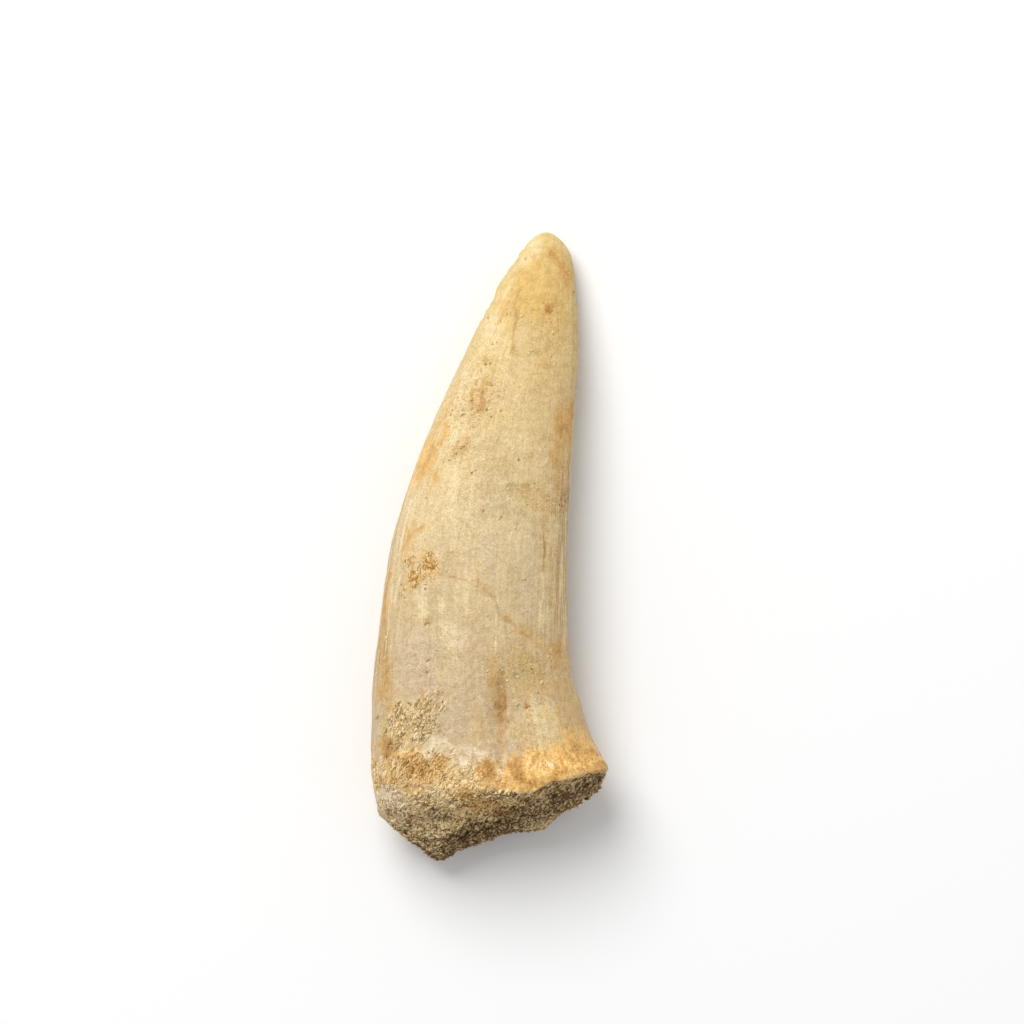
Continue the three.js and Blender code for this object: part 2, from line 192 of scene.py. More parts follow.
        (505, 516, 51, 27, 0, 0.5), (436, 645, 39, 24, 0, 0.5), (541, 726, 30, 24, 0, 0.5),
    ]),
    "olive": ([
        (470, 730, 10, 14, 0, 0.4), (512, 487, 9, 9, 0, 0.6), (530, 487, 8, 10, 0, 0.7),
        (503, 464, 26, 20, 0, 0.55), (488, 452, 20, 16, 0, 0.3), (523, 667, 18, 26, 0, 0.95),
        (534, 662, 12, 8, 0, 0.8), (492, 672, 20, 10, 0, 0.7), (514, 663, 18, 24, 0, 0.7),
        (440, 600, 30, 14, 0, 0.2), (447, 565, 14, 12, 0, 0.4), (520, 735, 14, 9, 0, 0.4),
        (497, 640, 6, 22, 0, 0.2), (536, 400, 60, 14, 4, 0.45), (572, 385, 30, 5, 0, 0.3),
        (410, 716, 20, 24, 0, 1), (391, 735, 20, 15, 0, 0.8), (525, 512, 20, 24, 0, 0.45),
        (405, 660, 30, 16, 0, 0.2), (386, 670, 46, 9, 0, 0.6), (432, 704, 16, 14, 0, 0.6),
        (538, 350, 30, 15, 4, 0.6), (467, 417, 6, 6, 0, 0.5), (461, 449, 9, 8, 0, 0.7),
        (428, 622, 8, 7, 0, 0.6), (498, 500, 24, 20, 0, 0.5), (398, 768, 10, 8, 0, 0.5),
    ], [
        (526, 381, 45, 15, 14, 0.5), (469, 672, 36, 24, 0, 0.5),
    ]),
    "pale": ([
        (533, 241, 12, 15, 60, 0.7), (524, 258, 16, 7, 26, 0.7), (508, 285, 26, 7, 26, 0.4),
        (490, 328, 18, 12, 22, 0.8), (482, 352, 20, 12, 26, 0.5), (464, 392, 52, 14, 26, 0.6),
        (458, 492, 48, 26, 8, 0.35), (452, 474, 12, 10, 20, 0.25), (421, 555, 30, 6, 12, 0.4),
        (465, 590, 22, 12, 0, 0.5), (452, 633, 18, 14, 0, 0.7), (461, 600, 12, 7, 0, 0.5),
        (424, 606, 16, 6, 0, 0.7), (441, 600, 8, 5, 0, 0.5), (506, 492, 14, 4, 0, 0.5),
        (540, 722, 26, 20, -20, 0.65), (446, 752, 5, 9, -20, 0.6), (444, 605, 9, 5, 0, 0.6),
        (452, 428, 26, 14, 26, 0.6), (470, 425, 8, 14, 0, 0.3), (500, 770, 4, 3, -30, 0.6),
        (536, 762, 5, 9, 0, 0.5), (505, 350, 20, 9, 10, 0.4), (520, 440, 12, 24, 0, 0.3),
        # (566, 580) is partly painted light along the right edge, which faces away from the key light.
        (545, 611, 14, 9, 0, 0.6), (566, 580, 90, 7, 0, 0.45), (480, 470, 20, 12, 0, 0.3),
    ], [
        (535, 249, 20, 17, 90, 0.7), (517, 357, 36, 12, 18, 0.5), (466, 561, 48, 9, 4, 0.5),
    ]),
    "chalk": ([
        (455, 632, 20, 16, 0, 0.5), (434, 742, 11, 16, -8, 0.75), (466, 751, 13, 21, 0, 0.7),
        (380, 764, 12, 4.5, 0, 0.9), (390, 796, 16, 14, 0, 1), (402, 802, 9, 10, 0, 0.7),
        (515, 753, 6, 5, 0, 0.7), (555, 761, 6, 12, 0, 0.35), (597, 752, 3, 4, 0, 0.5),
        (452, 668, 20, 9, 0, 0.4), (496, 770, 4, 5, -30, 0.7), (420, 603, 12, 6, 0, 0.5),
    ], []),
    "pitted": ([
        (476, 398, 40, 26, 20, 1), (461, 449, 14, 10, 0, 0.9), (533, 664, 16, 24, 0, 0.9),
        (508, 669, 14, 20, 0, 1), (446, 650, 22, 15, 0, 0.5), (527, 712, 26, 22, 0, 1),
        (425, 658, 18, 13, 0, 0.7), (420, 610, 15, 18, 0, 0.4), (484, 336, 27, 12, 25, 0.5),
        (535, 320, 20, 22, 0, 0.4), (500, 490, 30, 36, 0, 0.5), (470, 520, 30, 30, 0, 0.35),
        (556, 500, 14, 12, 0, 0.9), (585, 750, 12, 14, 0, 0.6), (564, 498, 12, 6, 0, 1),
        (512, 486, 8, 10, 0, 0.9), (432, 692, 16, 16, 20, 0.8), (444, 728, 14, 10, 0, 0.7),
        (388, 716, 22, 8, 0, 0.6),
    ], [
        (499, 396, 45, 24, 20, 0.8), (475, 606, 36, 30, 0, 0.6),
    ]),
}
# Sand that sticks to the enamel above the break, in the same terms.
CRUST = ([
    (416, 712, 16, 30, -28, 0.85), (399, 727, 14, 18, 0, 0.85), (424, 730, 9, 16, -25, 0.7),
    (405, 744, 9, 20, 0, 0.8), (414, 764, 20, 32, -6, 1), (395, 775, 14, 14, 0, 0.9),
    (448, 776, 15, 36, -4, 0.95), (468, 788, 9, 22, -4, 0.85), (485, 792, 6, 12, 0, 0.7),
    (428, 800, 14, 50, -4, 1), (448, 750, 5, 9, -20, 0.45), (381, 772, 26, 9, 0, 0.65),
], [
    (436, 744, 48, 36, 20, 0.95), (568, 717, 33, 21, -20, 0.85), (497, 822, 60, 24, 90, 1),
])
# Brown crystals in small rosettes.
ROSETTES = ([
    (428, 563, 9, 8, -50, 1), (417, 575, 9, 8, 20, 1), (416, 584, 5, 4, 0, 1), (431, 557, 5, 5, 0, 1),
    (410, 559, 3, 4, 0, 0.9), (404, 585, 4.5, 3, 20, 0.8), (401, 593, 2.5, 3, 60, 0.7),
    (432, 579, 4, 2.5, 10, 0.7), (426, 587, 2.6, 3, 60, 0.7), (389, 575, 4, 4, 0, 0.6),
], [
    (421, 502, 12, 9, 20, 1), (529, 435, 6, 4.5, 0, 1),
])
# On the break: pools of painted shadow that stay dark, and patches of painted light.
SHADOW_POOLS = ([
    (492, 826, 36, 10, 74, 1), (455, 848, 20, 9, 60, 0.8), (520, 806, 14, 6, 60, 0.6),
    (404, 822, 9, 7, 30, 0.5), (575, 790, 26, 8, 70, 0.75),
], [])
LIT_PATCHES = ([
    (539, 823, 20, 7, 84, 0.45), (402, 809, 20, 11, 66, 1), (434, 826, 12, 12, 0, 0.9),
    (392, 804, 10, 9, 0, 1), (470, 806, 24, 6, 80, 0.5), (428, 845, 14, 6, 120, 0.4),
], [])
# Single dark pits of the upper flank: x, y, radius (steps).
SPECKS = (
    (525, 259, 1.5), (507, 315, 2), (533, 310, 1.3), (531, 322, 1.5), (531, 325, 1.3), (487, 318, 1.6),
    (500, 322, 1.3), (497, 343, 1.5), (492, 345, 1.4), (513, 304, 1.6), (574, 291, 1.7), (568, 275, 1.5),
    (548, 296, 1.2), (568, 270, 1.4), (483, 360, 1.6), (490, 364, 1.7), (486, 365, 1.6), (495, 366, 1.5),
    (482, 374, 1.6), (476, 381, 1.8), (471, 377, 1.3), (463, 377, 1.3), (511, 354, 2), (530, 353, 1.6),
    (541, 353, 1.6), (551, 358, 1.4), (519, 362, 1.2), (514, 384, 1.6), (487, 385, 1.5), (491, 386, 1.8),
    (495, 390, 1.7), (458, 398, 1.6), (472, 401, 1.7), (452, 405, 1.4), (452, 410, 1.4), (450, 415, 1.7),
    (473, 408, 1.6), (478, 412, 1.7), (472, 412, 1.4), (487, 410, 2.4), (489, 411, 1.6), (464, 416, 2.3),
    (462, 417, 1.5), (491, 417, 1.6), (502, 408, 1.7), (501, 412, 1.6), (505, 412, 1.5), (480, 416, 1.5),
    (455, 420, 1.7), (474, 422, 1.6), (449, 426, 1.8), (474, 428, 1.3), (470, 428, 1.3), (466, 430, 1.3),
    (514, 404, 1.4), (477, 436, 1.2), (454, 450, 2.1), (461, 449, 2), (457, 454, 1.6), (459, 440, 1.4),
    (464, 446, 1.7), (467, 451, 1.7), (444, 463, 1.8), (456, 458, 1.5), (461, 463, 1.4), (450, 461, 1.6),
    (518, 460, 2.1), (492, 460, 1.2), (472, 473, 1.8), (475, 471, 1.7), (461, 473, 1.3), (534, 484, 1.6),
    (540, 455, 1.5), (427, 498, 1.8), (483, 510, 2.2), (484, 506, 1.5), (468, 504, 1.6), (462, 491, 1.4),
    (501, 517, 1.9), (507, 521, 1.4), (517, 523, 1.8), (438, 521, 1.4), (446, 505, 1.3), (459, 534, 1.3),
    (426, 540, 1.3), (421, 533, 1.2), (452, 552, 1.8), (456, 550, 1.4), (527, 505, 1.5), (522, 580, 1.8),
    (525, 579, 1.5), (565, 495, 1.8), (560, 500, 1.9), (565, 502, 1.7), (561, 506, 1.5), (430, 658, 1.8),
    (427, 659, 1.7), (421, 668, 1.5), (428, 670, 1.8), (424, 669, 1.4), (459, 648, 1.6), (455, 649, 1.5),
    (459, 655, 1.6), (461, 659, 1.4), (426, 623, 1.9), (429, 621, 1.7), (430, 607, 1.5), (441, 662, 1.2),
    (532, 667, 1.6), (532, 671, 1.6), (510, 670, 1.5), (519, 660, 1.4), (533, 682, 1.7), (538, 690, 1.6),
    (402, 583, 1.7), (405, 586, 1.7), (401, 593, 1.9), (406, 597, 1.5), (408, 557, 1.5), (411, 559, 1.6),
    (433, 580, 1.6), (426, 588, 1.6), (388, 573, 1.3), (392, 573, 1.2), (526, 705, 2), (529, 704, 1.5),
    (515, 706, 1.4), (525, 717, 1.4), (513, 696, 1.4), (520, 752, 1.4), (535, 722, 1.3), (597, 752, 1.6),
    (520, 740, 1.3), (477, 733, 1.2), (416, 654, 1.2), (440, 712, 1.4), (447, 709, 1.2), (396, 664, 1.2),
    (550, 740, 1.3), (565, 725, 1.2), (500, 668, 1.7), (505, 671, 1.5), (512, 664, 1.6), (516, 672, 1.7),
    (522, 668, 1.6), (526, 661, 1.6), (531, 665, 1.5), (498, 676, 1.6), (508, 678, 1.5), (540, 668, 1.5),
    (562, 493, 1.6), (558, 504, 1.6), (566, 510, 1.5), (553, 515, 1.3),
)
# Single pale grains stuck to the enamel: x, y (steps).
CRUMBS = (
    (552, 333), (531, 351), (541, 352), (529, 354), (511, 695), (517, 702), (524, 696), (528, 700),
    (517, 707), (522, 712), (517, 741), (534, 737), (474, 732), (494, 671), (415, 653), (429, 656),
    (496, 637), (389, 577), (481, 744), (537, 672), (413, 590), (456, 462), (511, 450), (536, 469),
    (446, 690), (503, 531), (520, 545), (508, 560), (530, 600), (487, 668), (515, 660), (545, 760),
    (590, 742), (548, 745),
)
# Small chips out of the front edge near the tip and of the rim: x, y, radius (steps).
CHIPS = (
    (514.5, 258, 4.5), (511, 266, 4), (506, 272, 4), (494, 298, 5), (488, 306, 5), (483, 318, 5),
    (478, 328, 4), (523, 245, 4), (553, 781, 6), (586, 772, 5), (526, 789, 6), (504, 788, 5),
)
CHIP_STEEPNESS = 0.25  # depth of a chip as a share of its radius
# Lines on the upper flank: half width (steps), strength, and points.
LINES = {
    "dark_line": (
        (2, 1, ((544.5, 541), (544.5, 549), (543.5, 557))), (1.9, 0.8, ((543, 531), (543.5, 541))),
        (1.9, 0.75, ((543.5, 557), (542, 571))),
        (1.5, 0.8, ((494, 597), (497, 602), (497, 608), (498, 612))),
        (1.5, 0.55, ((562, 424), (561, 434), (560, 440))), (1.4, 0.5, ((502, 406), (501, 411), (504, 413))),
        (1.5, 0.75, ((556, 298), (557, 315), (558, 335))), (1.3, 0.5, ((567, 320), (567, 345))),
        (1.5, 0.7, ((510, 354), (513, 350), (512, 345))), (1.5, 0.6, ((417, 658), (424, 659), (432, 657))),
        (1.5, 0.6, ((422, 669), (430, 670))), (1.4, 0.6, ((524, 706), (530, 704))),
        (1.4, 0.5, ((530, 684), (534, 679))), (1.4, 0.6, ((461, 418), (466, 414))),
        (1.4, 0.6, ((486, 409), (490, 411))), (1.6, 0.6, ((388, 572), (386, 576), (389, 579))),
        (1.5, 0.7, ((402, 583), (405, 584), (405, 587), (402, 587))), (1.5, 0.7, ((399, 594), (402, 592))),
    ),
    "brown_line": (
        (3.6, 0.8, ((520, 290), (515, 306), (517, 318), (513, 333), (512, 352))),
        (2.6, 0.6, ((515, 333), (513, 340), (513, 350), (511, 372))),
        (3, 0.85, ((439, 572), (446, 575), (456, 577), (466, 579))),
        (2.8, 0.8, ((466, 579), (472, 583), (480, 586))), (3, 0.75, ((482, 587), (488, 591), (494, 596))),
        (2.6, 0.75, ((494, 596), (497, 603), (498, 611))), (4, 0.75, ((499, 613), (506, 618), (513, 622))),
        (3.8, 0.65, ((513, 622), (520, 629), (530, 636))), (3, 0.5, ((544, 532), (543, 545), (543, 570))),
        (1.5, 0.8, ((483, 389), (482, 396), (481, 401))), (1.7, 0.9, ((481, 401), (480, 408))),
        (1.3, 0.5, ((466, 395), (471, 395), (477, 394))), (1.5, 0.8, ((472, 400), (471, 404))),
        (1.4, 0.6, ((487, 385), (492, 387))), (1.3, 0.6, ((473, 404), (473, 409), (472, 413))),
        (1.8, 0.5, ((568, 262), (567, 280), (568, 300))), (2, 0.55, ((428, 480), (428, 492), (427, 500))),
        (2, 0.5, ((424, 503), (420, 512))), (2.6, 0.7, ((425, 524), (414, 531), (407, 541), (403, 550))),
        (2.2, 0.5, ((499, 660), (498, 675), (499, 688))), (2, 0.4, ((546, 510), (552, 520), (554, 526))),
        (2.6, 0.9, ((513, 760), (519, 768), (524, 777), (529, 787))),
        (2.4, 0.8, ((479, 758), (484, 765), (489, 772))), (2.2, 0.8, ((572, 738), (578, 745), (582, 752))),
        (2.4, 0.8, ((545, 748), (540, 756), (537, 764))), (2, 0.6, ((384, 586), (382, 600), (381, 612))),
        (1.8, 0.7, ((561, 418), (560, 428), (560, 440))), (1.4, 0.8, ((434, 442), (430, 452), (431, 460))),
        (1.4, 0.7, ((416, 468), (413, 478))), (1.4, 0.6, ((426, 462), (427, 478), (428, 497))),
    ),
    "curl": (
        (2.9, 0.9, ((542, 303), (545, 306), (548, 309))), (3.1, 1, ((544, 309), (548, 310), (552, 311))),
        (3, 1, ((547, 303), (549, 307), (549, 313))), (2.8, 0.9, ((544, 315), (547, 312), (550, 310))),
        (2.2, 1, ((432, 552), (428, 556), (426, 561), (430, 563), (435, 566))),
        (2, 1, ((434, 555), (431, 558), (433, 562))),
        (2.2, 1, ((418, 560), (423, 564), (429, 567), (435, 569))),
        (2, 1, ((416, 560), (413, 566), (413, 571), (417, 573))),
        (2.2, 1, ((422, 563), (418, 568), (421, 573), (416, 577), (413, 580))),
        (2, 1, ((424, 567), (427, 571), (431, 572))),
        (2.2, 1, ((411, 571), (412, 577), (414, 583), (417, 587))),
        (2, 1, ((419, 575), (418, 581), (414, 586))), (2, 0.9, ((430, 575), (432, 578), (432, 582))),
        (2, 0.85, ((408, 556), (411, 558), (408, 560))), (2, 0.85, ((436, 560), (432, 565), (428, 569))),
        (2, 0.8, ((425, 589), (428, 586))), (2, 0.9, ((414, 575), (416, 579), (420, 579))),
    ),
    "pale_line": (
        (1.8, 0.75, ((496, 613), (496, 632), (496, 651))), (1.8, 0.9, ((542, 573), (543, 588), (541, 602))),
        (1.7, 0.6, ((541, 602), (538, 622))), (1.8, 0.8, ((412, 500), (406, 520), (402, 540), (399, 556))),
        (1.7, 0.6, ((415, 503), (410, 524), (405, 545))), (1.7, 0.6, ((418, 480), (412, 497))),
        (1.8, 0.8, ((401, 576), (398, 590), (395, 602))), (1.8, 0.6, ((394, 583), (391, 600), (389, 618))),
        (1.7, 0.6, ((389, 618), (387, 640), (384, 662))), (1.6, 0.4, ((384, 662), (382, 690))),
        (1.7, 0.8, ((545, 443), (541, 448), (540, 452))), (1.7, 0.8, ((548, 457), (544, 463), (538, 468))),
        (1.8, 0.7, ((503, 478), (503, 500))), (1.6, 0.6, ((446, 605), (445, 640))),
        (1.5, 0.6, ((459, 590), (459, 615))), (1.6, 0.6, ((427, 600), (427, 622))),
        (1.5, 0.5, ((466, 640), (466, 672))), (1.6, 0.6, ((560, 335), (556, 335), (552, 333))),
        (1.6, 0.6, ((452, 438), (447, 470), (440, 490))), (1.5, 0.6, ((430, 554), (428, 559), (432, 561))),
        (1.5, 0.7, ((420, 563), (416, 570), (418, 575))), (1.5, 0.6, ((426, 564), (432, 566))),
    ),
}
RIM_RAGGEDNESS = 5  # rows by which the matrix creeps over the rim here and there
RUSTY_ROWS = (FLANK_ROWS - 24, FLANK_ROWS - 8)  # where the rusty rim starts and where it is all there
RIM_LATENESS = 3.5  # rows by which the matrix starts later on the left
FAR = 9.0  # further than a grain, a line or a pit reaches, in its own widths
GRAIN_LIE = np.array((0.62, 0.78, 0.0))  # the way the grains of sand lie
GRAIN_SIDES = 6
SAND_SQUEEZE = 0.62  # by how much round bumps are drawn together that way before they come out long
# Painted shade: the lower part of the break is painted darker below this line, and so is wherever it faces
# down.
BREAK_SHADE_LINE = (-17.65, 0.40)  # below this line in plan (its y at x = 0 and its slope) the break is dark
BREAK_SHADE = 0.92  # how dark
TIP_LEAN = 0.28  # mm by which the worn tip leans over to +X
TIP_STRETCH = (16.5, 20.5)  # the y (mm) where this lean starts and where it is all there
UPPER_FACING = (-0.55, -0.15)  # how far up the skin faces where the upper flank starts, and where it is full
SIDE_START = 0.25  # where the skin faces up less than this, the marks are laid out over the side, not in plan
SIDE_RADIUS = 3.5  # mm: how sharply the sides turn
FURROW = (0.75, -12.2, 0.9, 3.2, 0.22)  # the shallow groove above the rim: x, y, half width and length, depth
HALF_LENGTH = 21.0  # mm: from the tooth's middle to its ends, between which the colours run
HOLLOW_LEVEL = 0.25  # how much of a hollow the bare skin counts as
HOLLOW_DEPTH = 0.16  # mm at which a hollow counts in full
MARK_FADING = 0.7  # how far a mark has faded, as a power of e, at its half length and half width
MARK_EDGE = 1.5  # the larger, the sharper its edge
MARK_WANDER = 0.3  # mm by which the outlines of marks wander
MARK_FRAY = 0.1  # mm by which they fray
LINE_FRAY = 0.05  # mm by which thin lines fray
GROWTH_RADIUS = 7.0  # mm: the wider, the closer the growth lines lie
GROWTH_STRETCH = 0.05  # the smaller, the longer they run on
GROWTH_ANYWHERE = 0.1  # how strongly they show away from the bands below
GROWTH_FADE = 0.35  # how much fainter they are on the underside
# Where growth lines show: turn round the tooth from its underside (radians), width of the band, strength,
# the y (mm) where it starts and where it is all there, the y between which it fades, and how far it fades.
GROWTH_BANDS = ((1.72, 0.42, 1.0, -8.5, -5.5, 3, 7, 0.75), (4.62, 0.35, 0.7, -11, -7, 4, 8, 0.7))
# Noises over the skin: width of a bump (mm), seed, and how many times finer bumps are added.
WAVES = {
    "bend": (1.4, 40, 4), "jitter": (0.45, 60, 2), "fray": (0.5, 80, 2), "bites": (0.6, 51, 2),
    "tufts": (0.35, 57, 2), "shade": (1.3, 53, 2), "shade_fray": (0.5, 54, 2), "shadow_pools": (0.9, 55, 2),
    "dents": (3.0, 1, 2), "fine_dents": (0.9, 5, 2), "striae": (0.30, 9, 2), "lumps": (1.0, 27, 2),
    "rim": (0.45, 29, 2), "patches": (1.6, 71, 3), "grain_swing": (2.5, 91, 2), "grain_clumps": (0.5, 92, 2),
}
# Round bumps over the skin, upside down for the pits: width (mm) and seed.
PEBBLES = {"pits": (0.5, 21), "sand": (0.25, 25)}
PIT_LEVEL = 0.66  # only the tops of the bumps above this level make pits
PITS_ANYWHERE = 0.02
PITS_WHERE_PITTED = 0.2
PIT_WANDER = 0.15  # mm
SAND_LEVEL = 0.45  # the level of the bumps that neither stands out of the skin nor sinks into it
SAND_WANDER = 0.05  # mm
# How far the parts of the relief rise or sink, in millimetres.
RELIEF = SimpleNamespace(
    dents=0.045, fine_dents=0.022, pits=0.3, single_pits=0.012, cracks=0.015, scratches=0.025, rim=0.05,
    crust_sand=0.17, crust_lumps=0.05, break_sand=0.30, break_lumps=0.17, break_sunk=0.06, under_rim=0.12,
    rosettes=0.03, curls=0.05,
)
SOFT_EDGE = (0.0, 0.25)  # the shares over which a noise starts to break up a stain
RAGGED_EDGE = (0.12, 0.9)  # the shares, after that, at which it starts and is all there
# Noises in the enamel's colours: the places they run over, bumps per millimetre, detail and roughness.
NOISES = {
    "broad": ("even", 0.45, 3.0, 0.5), "medium": ("even", 1.3, 4.0, 0.55), "coarse": ("even", 2.4, 3.0, 0.55),
    "fine": ("even", 6.5, 4.0, 0.7), "speck": ("even", 12.0, 2.0, 0.6), "swirls": ("even", 2.9, 1.0, 0.5),
    "lacy": ("upright", 2.6, 6.0, 0.66), "threads": ("upright", 7.0, 4.0, 0.66),
    "rods": ("lying", 5.5, 3.0, 0.6), "strands": ("growth", 2.2, 4.0, 0.6),
    "hairs": ("growth", 4.5, 2.0, 0.55), "bands": ("growth", 1.1, 4.0, 0.55),
}
# Loose grains: seed, count, lift off the skin and length in half widths, how far their tones come in clumps,
# and how these tones run from the darkest share of their ground's colour to the palest colour. The tones
# follow how high each grain sits, so the dark end is painted shade on low grains and the pale end painted
# light on raised ones.
SINGLE_GRAINS = dict(
    clumps=0, dark=(0.9, 0.9, 0.9), palest=(1.0, 0.8, 0.5), turning=(0.2, 0.8), bleaching=(0.8, 2.0)
)
GRAINS = {
    "break_sand": dict(
        seed=11, count=14500, lift=(-1.1, 0.5), length=(1.2, 3.0), clumps=0.3,
        dark=(0.19, 0.118, 0.04), palest=(1.0, 0.775, 0.42), turning=(0.16, 0.6), bleaching=(0.47, 0.88),
    ),
    "crust_sand": dict(
        seed=12, count=13000, lift=(-1.0, 0.3), length=(2.0, 5.0), clumps=0.1,
        dark=(0.46, 0.34, 0.16), palest=(0.95, 0.765, 0.47), turning=(0.05, 0.5), bleaching=(0.45, 1.15),
    ),
    "rosette_crystals": dict(seed=13, count=60, lift=(-0.5, 0.3), length=(1.2, 2.4), **SINGLE_GRAINS),
    "enamel_crumbs": dict(seed=14, count=300, lift=(-0.3, 0.3), length=(1.1, 2.0), **SINGLE_GRAINS),
}
GRAIN_SPREAD = 0.4  # how far the widths of grains differ
GRAIN_WIDTHS = (0.5, 2.2)  # the thinnest and the widest in mean widths
GRAIN_BREADTH = (0.8, 1.2)  # across the grain along the surface, in half widths
GRAIN_HEIGHT = (0.6, 0.9)  # across it away from the surface
GRAIN_CORNERS = (0.75, 1.2)  # how far out its corners lie, which makes each grain uneven
GRAIN_SWING = 0.6  # radians by which the way grains lie wanders
GRAIN_WILDNESS = 0.5  # how far single grains turn away from it
GRAIN_TILT = 0.35  # radians by which they tip out of the surface
GRAIN_SINK = 1.5  # half widths by which grains sink in on the underside
DOWN_FACING = (-0.5, -0.1)  # how far down the skin faces where they start to sink, and where they all have
GRAIN_TONES = 0.12  # how far the tones of single grains differ
# Painted light: how much paler the grains are in the lit patches of the break.
LIT_PATCH_TONE = 0.2  # how much paler they are at the margins of the break
GRAIN_SHIFT = 0.04  # mm by which grains sit off the points of the skin
PLACED_GRAIN = 1.3  # width of a crumb that has its own place, against that of the others
HASH_FACTORS = (73856093, 19349663, 83492791, 2654435761)  # large odd numbers that scatter neighbouring cells
HASH_MIXERS = (1274126177, 2246822519)
LOW_BITS = 0xFFFFFFFF
HASH_TOP = 0xFFFFFF
OCTAVE_SHIFT = 31.7  # keeps the bumps of one fineness clear of those of the next


def hashed(cells, seed):
    """A repeatable number from 0 to 1 for each cell of a whole-number lattice."""
    mixed = seed * HASH_FACTORS[3]
    for axis in range(3):
        mixed = mixed ^ cells[..., axis] * HASH_FACTORS[axis]
    mixed = ((mixed ^ (mixed >> 13)) * HASH_MIXERS[0]) & LOW_BITS
    mixed = ((mixed ^ (mixed >> 16)) * HASH_MIXERS[1]) & LOW_BITS
    return ((mixed ^ (mixed >> 15)) & HASH_TOP) / HASH_TOP


def waves(points, kind, nth=0):
    """Smooth noise from about -1 to 1 of a kind in WAVES, or the nth more that is like it."""
    grain, seed, octaves = WAVES[kind]
    total = np.zeros(len(points))
    for octave in range(octaves):
        scaled = points / grain * 2**octave + OCTAVE_SHIFT * octave
        cell = np.floor(scaled).astype(np.int64)
        part = scaled - cell
        ease = part * part * (3 - 2 * part)
        for corner in itertools.product((0, 1), repeat=3):
            weight = np.prod(np.where(corner, ease, 1 - ease), axis=1)
            total += weight * (2 * hashed(cell + np.array(corner), seed + nth + octave) - 1) / 2**octave
    return total


def many_waves(points, kind, count):
    """Several noises of a kind side by side, to push places about with."""
    return np.stack([waves(points, kind, nth) for nth in range(count)], axis=1)


def pebbles(points, kind):
    """Round bumps of a kind in PEBBLES: 1 at the middle of each and 0 in the gaps between them."""
    grain, seed = PEBBLES[kind]
    scaled = points / grain
    base = np.floor(scaled).astype(np.int64)
    nearest = np.full(len(points), FAR)
    for step in itertools.product((-1, 0, 1), repeat=3):
        cell = base + np.array(step)
        centre = cell + np.stack([hashed(cell, seed + k) for k in range(3)], axis=1)
        nearest = np.minimum(nearest, np.linalg.norm(scaled - centre, axis=1))
    return np.clip(1 - nearest, 0, 1)


def smoothstep(value, low, high):
    """Rises smoothly from 0 at the low value to 1 at the high one."""
    share = np.clip((value - low) / (high - low), 0, 1)
    return share * share * (3 - 2 * share)


def gaussian(value, sharpness=1):
    """A round bump: 1 where the value is 0, and next to nothing far from there."""
    return np.exp(-sharpness * value**2)


def evened(grid, passes):
    """Smooths a block of rows, each a closed ring of points, and keeps its first and last rows.

    Each pass draws the points together and then pushes them apart a little further, so nothing shrinks."""
    for pull in (0.5, -0.53) * passes:
        around = (np.roll(grid, 1, axis=1) + np.roll(grid, -1, axis=1)) / 2 - grid
        along = (grid[:-2] + grid[2:]) / 2 - grid[1:-1]
        grid = grid.copy()
        grid[1:-1] += pull * (around[1:-1] + along) / 2
    return grid


def rounded(ring, axis):
    """Evens out what runs round the rim of the break."""
    for _ in range(RIM_EVENING):
        ring = (np.roll(ring, 1, axis) + 2 * ring + np.roll(ring, -1, axis)) / 4
    return ring


def skin_columns(columns):
    """Points of the solid's surface and the way it faces there, in columns from the tip to the break."""
    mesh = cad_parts[NODE].data
    corners = [v.co / MM for v in mesh.vertices]
    tree = BVHTree.FromPolygons(corners, [tuple(p.vertices) for p in mesh.polygons])
    turns = np.arange(columns) * 2 * math.pi / columns - math.pi / 2
    across = np.stack((np.cos(turns), FLATNESS * np.sin(turns)), axis=1)
    across /= np.linalg.norm(across, axis=1)[:, None]
    places = np.zeros((columns, RAYS_PER_COLUMN, 3))
    facings = np.zeros_like(places)
    for row, step in enumerate(np.linspace(0, 1, RAYS_PER_COLUMN)):
        t = np.clip(np.interp(step, RAY_START_STEPS, (0, 1)), 0, 1)
        start = (1 - t) ** 2 * CORE_TIP + 2 * t * (1 - t) * CORE_BEND + t * t * CORE_BASE
        tipward = (1 - t) * (CORE_TIP - CORE_BEND) + t * (CORE_BEND - CORE_BASE)
        tipward /= np.linalg.norm(tipward)
        side = np.cross(tipward, (0, 0, 1))
        side /= np.linalg.norm(side)
        up = np.cross(side, tipward)
        lean = math.radians(np.interp(step, RAY_STEPS, RAY_LEANS))
        for column, (sideways, upward) in enumerate(across):
            ray = math.cos(lean) * tipward + math.sin(lean) * (sideways * side + upward * up)
            place, facing, _, _ = tree.ray_cast(start, ray)
            places[column, row] = place
            facings[column, row] = facing
    return places, facings


def rim_rows(places, facings):
    """For each column, how far along it the rim of the break lies, in rays."""
    flank_part = int(RAYS_PER_COLUMN * RAY_STEPS[1])
    window = np.ones(5) / 5
    rims = []
    for facing in facings:
        slope = np.convolve(facing[:, 1], window, mode="same")
        past = np.nonzero(slope[flank_part:] < RIM_SLOPE)[0]
        rims.append(flank_part + past[0])
    return rounded(np.array(rims, float), 0)


def resampled(line, rim):
    """A column's points spaced evenly, with one on the rim."""
    steps = np.arange(len(line), dtype=float)
    gone = np.concatenate(([0], np.cumsum(np.linalg.norm(np.diff(line, axis=0), axis=1))))
    rim_gone = np.interp(rim, steps, gone)
    flank = np.linspace(0, rim_gone, FLANK_ROWS + 1)[1:]
    broken = np.linspace(rim_gone, gone[-1], BREAK_ROWS + 1)[1:-1]
    wanted = np.concatenate((flank, broken))
    return np.stack([np.interp(wanted, gone, line[:, axis]) for axis in range(3)], axis=1)


